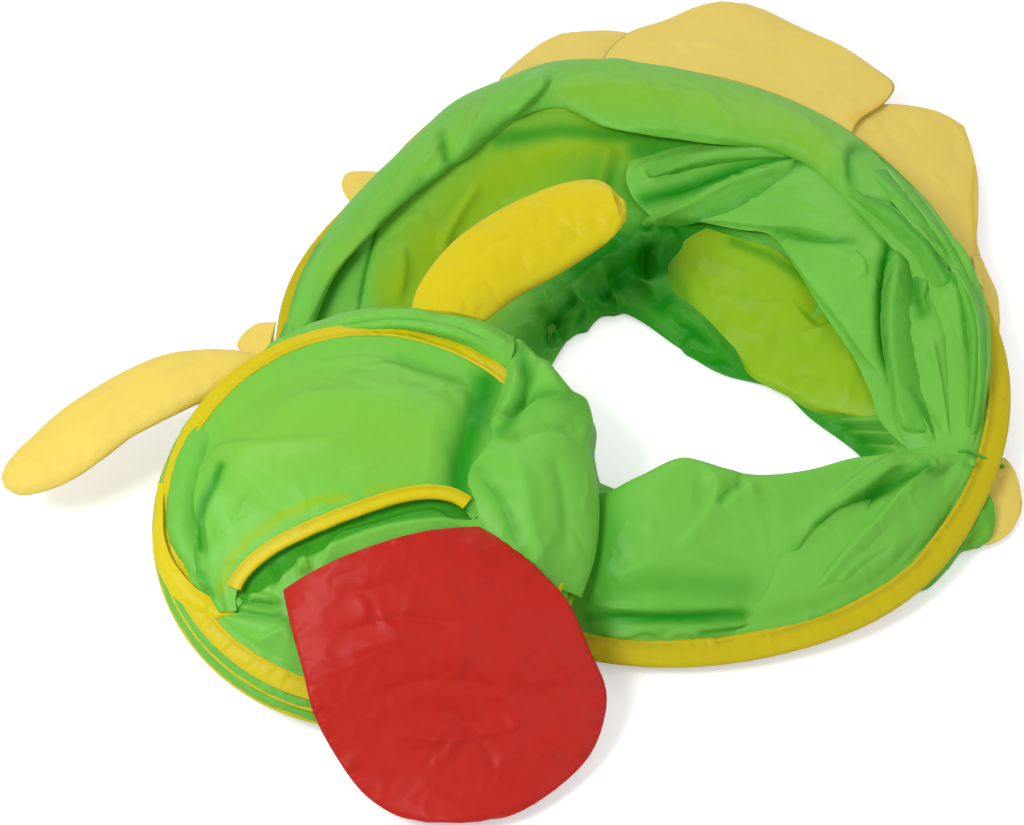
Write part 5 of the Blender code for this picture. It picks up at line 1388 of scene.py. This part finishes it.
# The neck: the fold that lies over the face's right, the cloth outside the hoops, and the roll above them
NECK_ROWS = (
    ((504, 350, 142), (510, 342, 152), (518, 339, 156), (526, 344, 154), (533, 356, 148), (534, 364, 140)),
    ((500, 378, 142), (507, 370, 160), (526, 360, 168), (545, 364, 164), (560, 382, 146), (560, 390, 132)),
    ((494, 404, 144), (501, 400, 164), (526, 388, 174), (556, 384, 166), (584, 404, 138), (583, 410, 122)),
    ((480, 434, 146), (487, 430, 164), (522, 416, 176), (562, 408, 166), (592, 420, 132), (590, 428, 114)),
    ((458, 464, 146), (464, 462, 162), (506, 446, 178), (556, 438, 168), (589, 446, 130), (588, 452, 112)),
    ((452, 490, 142), (459, 490, 156), (506, 478, 174), (558, 472, 164), (597, 486, 122), (594, 490, 104)),
    ((460, 518, 134), (468, 518, 148), (512, 510, 164), (560, 508, 150), (598, 520, 110), (596, 524, 92)),
    ((482, 552, 120), (490, 552, 132), (524, 546, 144), (562, 546, 128), (594, 556, 94), (591, 558, 78)),
    ((516, 590, 96), (524, 590, 106), (542, 588, 108), (562, 590, 92), (581, 598, 70), (578, 600, 60)),
)
NECK_FOLDS = (
    (7, 7, ((508, 348), (516, 375), (506, 406), (488, 438))),
    (-9, 7, ((521, 350), (528, 378), (520, 406), (502, 432))),
    (9, 7, ((488, 434), (515, 418), (541, 404), (562, 402), (581, 404), (592, 420))),
    (-9, 7, ((500, 420), (530, 394), (560, 390), (578, 396))),
    (7, 9, ((535, 358), (550, 378), (572, 398))),
    (-7, 8, ((496, 448), (530, 428), (556, 424), (590, 436))),
    (5, 10, ((506, 446), (522, 474), (530, 520), (548, 580))),
    (-5, 9, ((478, 470), (500, 500), (520, 550))),
    (-5, 10, ((552, 446), (566, 500), (568, 560))),
)
NECK_OUTER_ROWS = (
    ((520, 352, 136), (536, 372, 112), (540, 376, 86), (536, 376, 66)),
    ((540, 376, 128), (566, 402, 104), (570, 408, 76), (564, 410, 56)),
    ((566, 398, 120), (590, 416, 96), (594, 428, 66), (588, 432, 48)),
    ((566, 440, 116), (589, 447, 92), (594, 458, 60), (588, 462, 42)),
    ((570, 482, 106), (597, 487, 82), (601, 500, 50), (594, 504, 36)),
    ((570, 520, 94), (598, 524, 70), (600, 538, 40), (592, 542, 28)),
    ((562, 556, 78), (592, 563, 54), (592, 578, 30), (584, 582, 20)),
    ((546, 590, 62), (576, 606, 40), (574, 618, 22), (566, 622, 14)),
)
ROLL_ROWS = (
    ((262, 352, 150), (268, 346, 157), (274, 342, 158), (280, 340, 152), (284, 340, 140)),
    ((308, 345, 158), (308, 336, 171), (310, 330, 173), (312, 324, 166), (316, 324, 148)),
    ((352, 338, 162), (350, 326, 182), (350, 318, 184), (352, 312, 172), (356, 312, 148)),
    ((396, 338, 162), (394, 324, 186), (394, 314, 188), (396, 308, 176), (400, 310, 148)),
    ((440, 345, 160), (440, 330, 186), (440, 320, 188), (440, 314, 176), (444, 314, 146)),
    ((478, 362, 156), (482, 345, 178), (484, 332, 180), (484, 322, 168), (488, 326, 140)),
    ((504, 382, 148), (510, 362, 166), (514, 348, 166), (514, 338, 156), (520, 344, 130)),
)
ROLL_FOLDS = (
    (6, 4, ((300, 340), (350, 328), (400, 324), (450, 332), (500, 352))),
    (-6, 3, ((310, 332), (360, 320), (410, 317), (460, 325), (505, 348))),
    (4, 3, ((330, 322), (380, 313), (440, 316), (490, 330))),
    (-4, 3, ((420, 312), (460, 322), (500, 345))),
)


def build_neck():
    carried = "head_front", "draped", "head_front_hoop_casing_cloth"
    grid = laid(NECK_ROWS, 90, 240, NECK_FOLDS)
    grid = buckled(grid, 0.03, 0.02, held_edges(grid, 0.05, 0.05, 0.02, 0.04), 91)
    # Painted shade along the neck fold's furrows and where it lies deep
    deep = painted_fold_shade(grid, seen(grid), (
        (0.6, 8, ((521, 350), (528, 378), (520, 406), (502, 432))),
        (0.4, 8, ((505, 418), (535, 394), (575, 396))),
        (0.3, 8, ((478, 470), (500, 500), (520, 550))),
    ), 0.004, 0.5)
    cloth("neck_fold_cloth", grid, *carried, ("neck_fold",), deep=deep)
    grid = crumpled(laid(NECK_OUTER_ROWS, 50, 200), 0.0012, 0.05, 95)
    # The cloth outside the hoops is painted in shade all over
    cloth("neck_cloth", grid, "head", "gathered", "head_back_hoop_casing_cloth", ("neck_sleeve",), deep=0.25)
    grid = crumpled(laid(ROLL_ROWS, 40, 240, ROLL_FOLDS), 0.0010, 0.04, 93)
    # The roll is painted in shade where it lies deep in its folds
    cloth("neck_roll", grid, *carried, deep=hollows(grid, 0.004) * 0.6)


# Horns, tongue and fins

def pillow(edges, thickness, count, across, crown, taper):
    """The upper and lower faces of a padded form between two edges, and the normals of its middle."""
    a, b = (spline(at(edge), count) for edge in edges)
    share = np.linspace(-1, 1, across)
    middle = (a[:, None] + b[:, None]) / 2 + (b - a)[:, None] / 2 * share[None, :, None]
    normals = facing(middle)
    end = np.clip((1 - np.linspace(0, 1, count)) / taper, 0, 1) ** 0.5
    puff = (1 - share**2) ** 0.6
    half = thickness / 2 * end[:, None] * puff[None, :]
    middle = middle + normals * (crown * puff[None, :] * end[:, None])[..., None]
    return middle + normals * half[..., None], middle - normals * half[..., None], normals


def padded_piece(body, slot, edges, thickness, replaced, seed, fill, count=160, across=60, crown=0, taper=0.1,
                 folds=(), crumple=0.0015, scale=0.05, painted_shade_rows=(), pucker=0, arch=0):
    """A padded form between two edges of pixels and heights."""
    top, under, normals = pillow(edges, thickness, count, across, crown, taper)
    share = np.linspace(-1, 1, across)[None, :]
    if arch:
        along = np.linspace(0, 1, count)[:, None]
        rise = arch * (1 - share**2) * np.exp(-((along / 0.22) ** 2))
        top[..., 2] += rise
        under[..., 2] += rise
    if folds:
        top = folded(top, folds)
    free = np.clip((1 - np.abs(share)) * 5, 0, 1)
    top = crumpled(top, crumple, scale, seed, mask=free)
    under = crumpled(under, crumple, scale, seed + 5, mask=free)
    if pucker:
        pulled = np.exp(-(((1 - np.abs(share)) / 0.06) ** 2))
        wave = (field(top, 0.010, seed + 11, True) * pulled * pucker)[..., None]
        top = top + normals * wave
        under = under - normals * wave
    grid = np.concatenate([top, under[:, -2:0:-1]], axis=1)
    # Painted shade along the given strokes
    deep = strokes(seen(grid), painted_shade_rows)
    thing = piece(body + "_cloth", grid, slot, body, replaced, deep=deep, loop=True, caps=True)


LEFT_HORN = (
    ((262, 356, 136), (240, 351, 137), (200, 350, 132), (165, 355, 124), (128, 370, 114), (95, 388, 104),
     (60, 412, 92), (30, 440, 80), (8, 464, 70), (2, 478, 66)),
    ((216, 396, 128), (206, 400, 128), (188, 408, 124), (160, 422, 116), (130, 438, 106), (104, 458, 96),
     (75, 478, 84), (45, 491, 74), (20, 495, 68), (6, 489, 66)),
)
RIGHT_HORN = (
    ((411, 312, 168), (414, 296, 172), (425, 275, 178), (455, 240, 186), (495, 212, 194), (530, 195, 200),
     (560, 184, 204), (595, 180, 206), (612, 188, 206), (621, 203, 204)),
    ((485, 322, 150), (500, 310, 154), (525, 293, 160), (558, 275, 168), (590, 255, 176), (603, 246, 182),
     (612, 238, 188), (620, 228, 194), (624, 220, 198), (625, 211, 202)),
)
TONGUE = (
    ((283, 591, 144), (291, 628, 134), (303, 672, 116), (313, 712, 92), (335, 755, 62), (365, 795, 38),
     (400, 817, 26), (430, 821, 22)),
    ((480, 527, 152), (510, 545, 142), (545, 575, 128), (570, 605, 112), (590, 650, 86), (606, 690, 56),
     (604, 720, 40), (590, 755, 28), (555, 790, 22), (510, 816, 20), (470, 821, 20)),
)
TONGUE_FOLDS = (
    (-3, 6, ((320, 640), (400, 618), (470, 628))),
    (3, 8, ((330, 660), (400, 640), (450, 660), (500, 640))),
    (-3, 7, ((360, 700), (430, 680), (520, 690))),
    (3, 7, ((380, 730), (450, 740), (540, 720))),
    (-2, 6, ((330, 600), (400, 580), (450, 560))),
    (-3, 5, ((440, 700), (480, 740), (500, 780))),
)
# Each fin's thickness, its counts down and across, its two edges and what else it has, among them strokes of painted
# shade
FINS = (
    (0.006, 60, 40, (
        ((276, 322, 52), (256, 324, 40), (243, 334, 30), (238, 346, 24)),
        ((268, 362, 48), (256, 358, 40), (246, 354, 30), (240, 350, 24)),
    ), {}),
    (0.006, 60, 40, (
        ((384, 172, 66), (360, 171, 52), (347, 173, 44), (342, 180, 40)),
        ((356, 206, 62), (350, 202, 54), (345, 195, 46), (342, 188, 40)),
    ), {}),
    (0.007, 80, 70, (
        ((500, 86, 72), (500, 78, 66), (512, 66, 54), (525, 55, 42), (543, 42, 30), (562, 33, 20)),
        ((660, 76, 72), (662, 62, 60), (655, 46, 46), (640, 36, 34), (616, 31, 24), (585, 31, 18)),
    ), {"crumple": 0.001, "scale": 0.09}),
    (0.008, 100, 90, (
        ((600, 76, 76), (605, 55, 66), (630, 32, 48), (665, 20, 34), (698, 6, 18), (722, 1, 10)),
        ((852, 134, 72), (860, 120, 64), (886, 102, 48), (894, 84, 36), (872, 66, 28), (842, 46, 22),
         (800, 27, 16), (765, 10, 10), (745, 3, 8)),
    ), {"crumple": 0.0012, "scale": 0.11, "painted_shade_rows": ((0.5, 4, ((852, 120), (886, 101))),)}),
    (0.008, 100, 90, (
        ((846, 130, 66), (852, 117, 58), (880, 105, 44), (906, 105, 34), (934, 110, 26), (950, 117, 22)),
        ((984, 290, 54), (982, 262, 44), (977, 240, 36), (978, 215, 30), (978, 180, 22), (972, 150, 18),
         (964, 126, 18)),
    ), {"crumple": 0.0014, "scale": 0.09,
        "painted_shade_rows": ((0.55, 3, ((975, 168), (972, 200), (975, 240), (977, 262))),)}),
    (0.006, 50, 60, (
        ((972, 256, 56), (980, 256, 46), (986, 268, 38), (992, 282, 32)),
        ((990, 350, 40), (997, 340, 36), (1000, 322, 32), (998, 300, 30)),
    ), {}),
    (0.006, 60, 60, (
        ((996, 468, 26), (1004, 458, 24), (1012, 466, 20), (1019, 482, 14), (1022, 500, 9)),
        ((972, 540, 16), (985, 545, 12), (1000, 540, 9), (1012, 530, 7), (1020, 515, 7)),
    ), {}),
)


def build_padding():
    """The horns, the tongue and the seven fins."""
    padded_piece(
        "left_horn", PALE, LEFT_HORN, 0.030, ("left_horn_cover", "left_horn_filling"), seed=101, fill=0.5, folds=(
            (1.5, 8, ((200, 365), (130, 395), (60, 440))),
            (-1.5, 8, ((190, 385), (120, 425), (60, 465))),
        ),
    )
    padded_piece(
        "right_horn", YELLOW, RIGHT_HORN, 0.032, ("right_horn_cover", "right_horn_filling"), seed=111, fill=0.6,
        # Painted shade along the horn's lower edge
        painted_shade_rows=((0.6, 5, ((500, 306), (560, 272), (600, 247))),),
    )
    padded_piece(
        "tongue", RED, TONGUE, 0.017, ("tongue_cover", "tongue_padding"), seed=121, fill=0.5, count=240, across=110,
        crown=0.004, taper=0.06, folds=TONGUE_FOLDS, crumple=0.0014, scale=0.07, pucker=0.0014, arch=0.022,
    )
    for i, (thickness, count, across, edges, more) in enumerate(FINS):
        name = f"fin_{i + 1}"
        padded_piece(
            name, PALE, edges, thickness, (name,), seed=131 + 2 * i, fill=0.2, count=count, across=across, **more
        )


def build_tie():
    """The strand hooked round the top casing at the pinch."""
    path = spline(at((
        (958, 452, 52), (968, 451, 54), (978, 455, 51), (988, 460, 45), (998, 463, 36), (1003, 467, 24), (996, 470, 14),
    )), 60)
    ahead = np.gradient(path, axis=0)
    ahead /= np.linalg.norm(ahead, axis=1, keepdims=True)
    side = np.cross(ahead, (0, 0, 1.0))
    side /= np.linalg.norm(side, axis=1, keepdims=True)
    lift = np.cross(side, ahead)
    turns = np.linspace(0, math.tau, 10, endpoint=False)
    radius = 0.0020 + 0.0003 * np.sin(turns[None, :] * 2 + np.arange(60)[:, None] * 0.9)
    round_it = side[:, None] * np.cos(turns)[None, :, None] + lift[:, None] * np.sin(turns)[None, :, None]
    grid = path[:, None] + round_it * radius[..., None]
    # The strand is painted in shade all over
    thing = piece("tie_cloth", grid, GREEN, "top", ("tie_cord",), deep=0.5, loop=True, caps=True)


build_wall()
build_under()
build_hump()
build_rim()
build_strip()
build_fold()
build_panel()
build_lower()
build_side()
build_face()
build_turns()
build_binding()
build_pleat("rear_pleat_cloth", "head_rear_sleeve", ("head", "head_middle"), 2, 81)
build_pleat("front_pleat_cloth", "head_front_sleeve", ("head_middle", "head_front"), 1, 83)
build_neck()
build_padding()
build_tie()

# Materials on what stays of the solids
for name, thing in frame["nodes"].items():
    if name.endswith(("_wire", "_ferrule")):
        chosen = STEEL
    elif name.endswith(("_padding", "_filling")):
        chosen = WADDING
    elif name == "tie_knot":
        chosen = CLOTHS[GREEN]
    else:
        continue
    thing.data.materials.clear()
    thing.data.materials.append(chosen)


# Stage, lights and camera

FLOOR_HALF = 12
FLOOR_GLOW = 0.36
WORLD_STRENGTH = 0.50


def build_stage():
    """A plain pale floor, lighter where the camera sees it."""
    size = FLOOR_HALF
    mesh = bpy.data.meshes.new("floor")
    mesh.from_pydata([(-size, -size, 0), (size, -size, 0), (size, size, 0), (-size, size, 0)], [], [(0, 1, 2, 3)])
    floor = bpy.data.objects.new("floor", mesh)
    bpy.context.scene.collection.objects.link(floor)
    material, tree, shader = new_material(
        "floor", Base_Color=(0.90, 0.90, 0.90, 1), Roughness=0.9, Specular_IOR_Level=0
    )
    level = node(tree, "ShaderNodeMath", operation="MULTIPLY")
    level.inputs[1].default_value = FLOOR_GLOW
    tree.links.new(node(tree, "ShaderNodeLightPath").outputs["Is Camera Ray"], level.inputs[0])
    light = node(tree, "ShaderNodeEmission", Strength=level.outputs["Value"])
    total = node(tree, "ShaderNodeAddShader")
    tree.links.new(shader.outputs["BSDF"], total.inputs[0])
    tree.links.new(light.outputs["Emission"], total.inputs[1])
    tree.links.new(total.outputs["Shader"], tree.nodes["Material Output"].inputs["Surface"])
    mesh.materials.append(material)


def build_light(name, place, size, power):
    """A round soft lamp aimed at the middle of the floor."""
    data = bpy.data.lights.new(name, "AREA")
    data.shape = "DISK"
    data.size = size
    data.energy = power
    lamp = bpy.data.objects.new(name, data)
    bpy.context.scene.collection.objects.link(lamp)
    lamp.location = place
    lamp.rotation_euler = (-Vector(place)).to_track_quat("-Z", "Y").to_euler()


build_stage()
build_light("key", (-1.6, -1.2, 2.6), 1.2, 62)
build_light("fill", (2.2, -1.4, 2.0), 2.2, 16)
build_light("back", (0.4, 2.6, 1.8), 2.0, 20)
world = bpy.data.worlds.new("studio")
bpy.context.scene.world = world
world.use_nodes = True
settle(world.node_tree, world.node_tree.nodes["Background"], {"Color": (1, 1, 1, 1), "Strength": WORLD_STRENGTH})

camera_data = bpy.data.cameras.new("camera")
camera_data.sensor_width = SENSOR_WIDTH
camera_data.lens = FOCAL * SENSOR_WIDTH / FRAME_WIDTH
camera = bpy.data.objects.new("camera", camera_data)
bpy.context.scene.collection.objects.link(camera)
camera.location = EYE
camera.rotation_euler = (math.pi / 2 - ELEVATION, 0, 0)
bpy.context.scene.camera = camera
bpy.context.scene.view_settings.view_transform = "Standard"
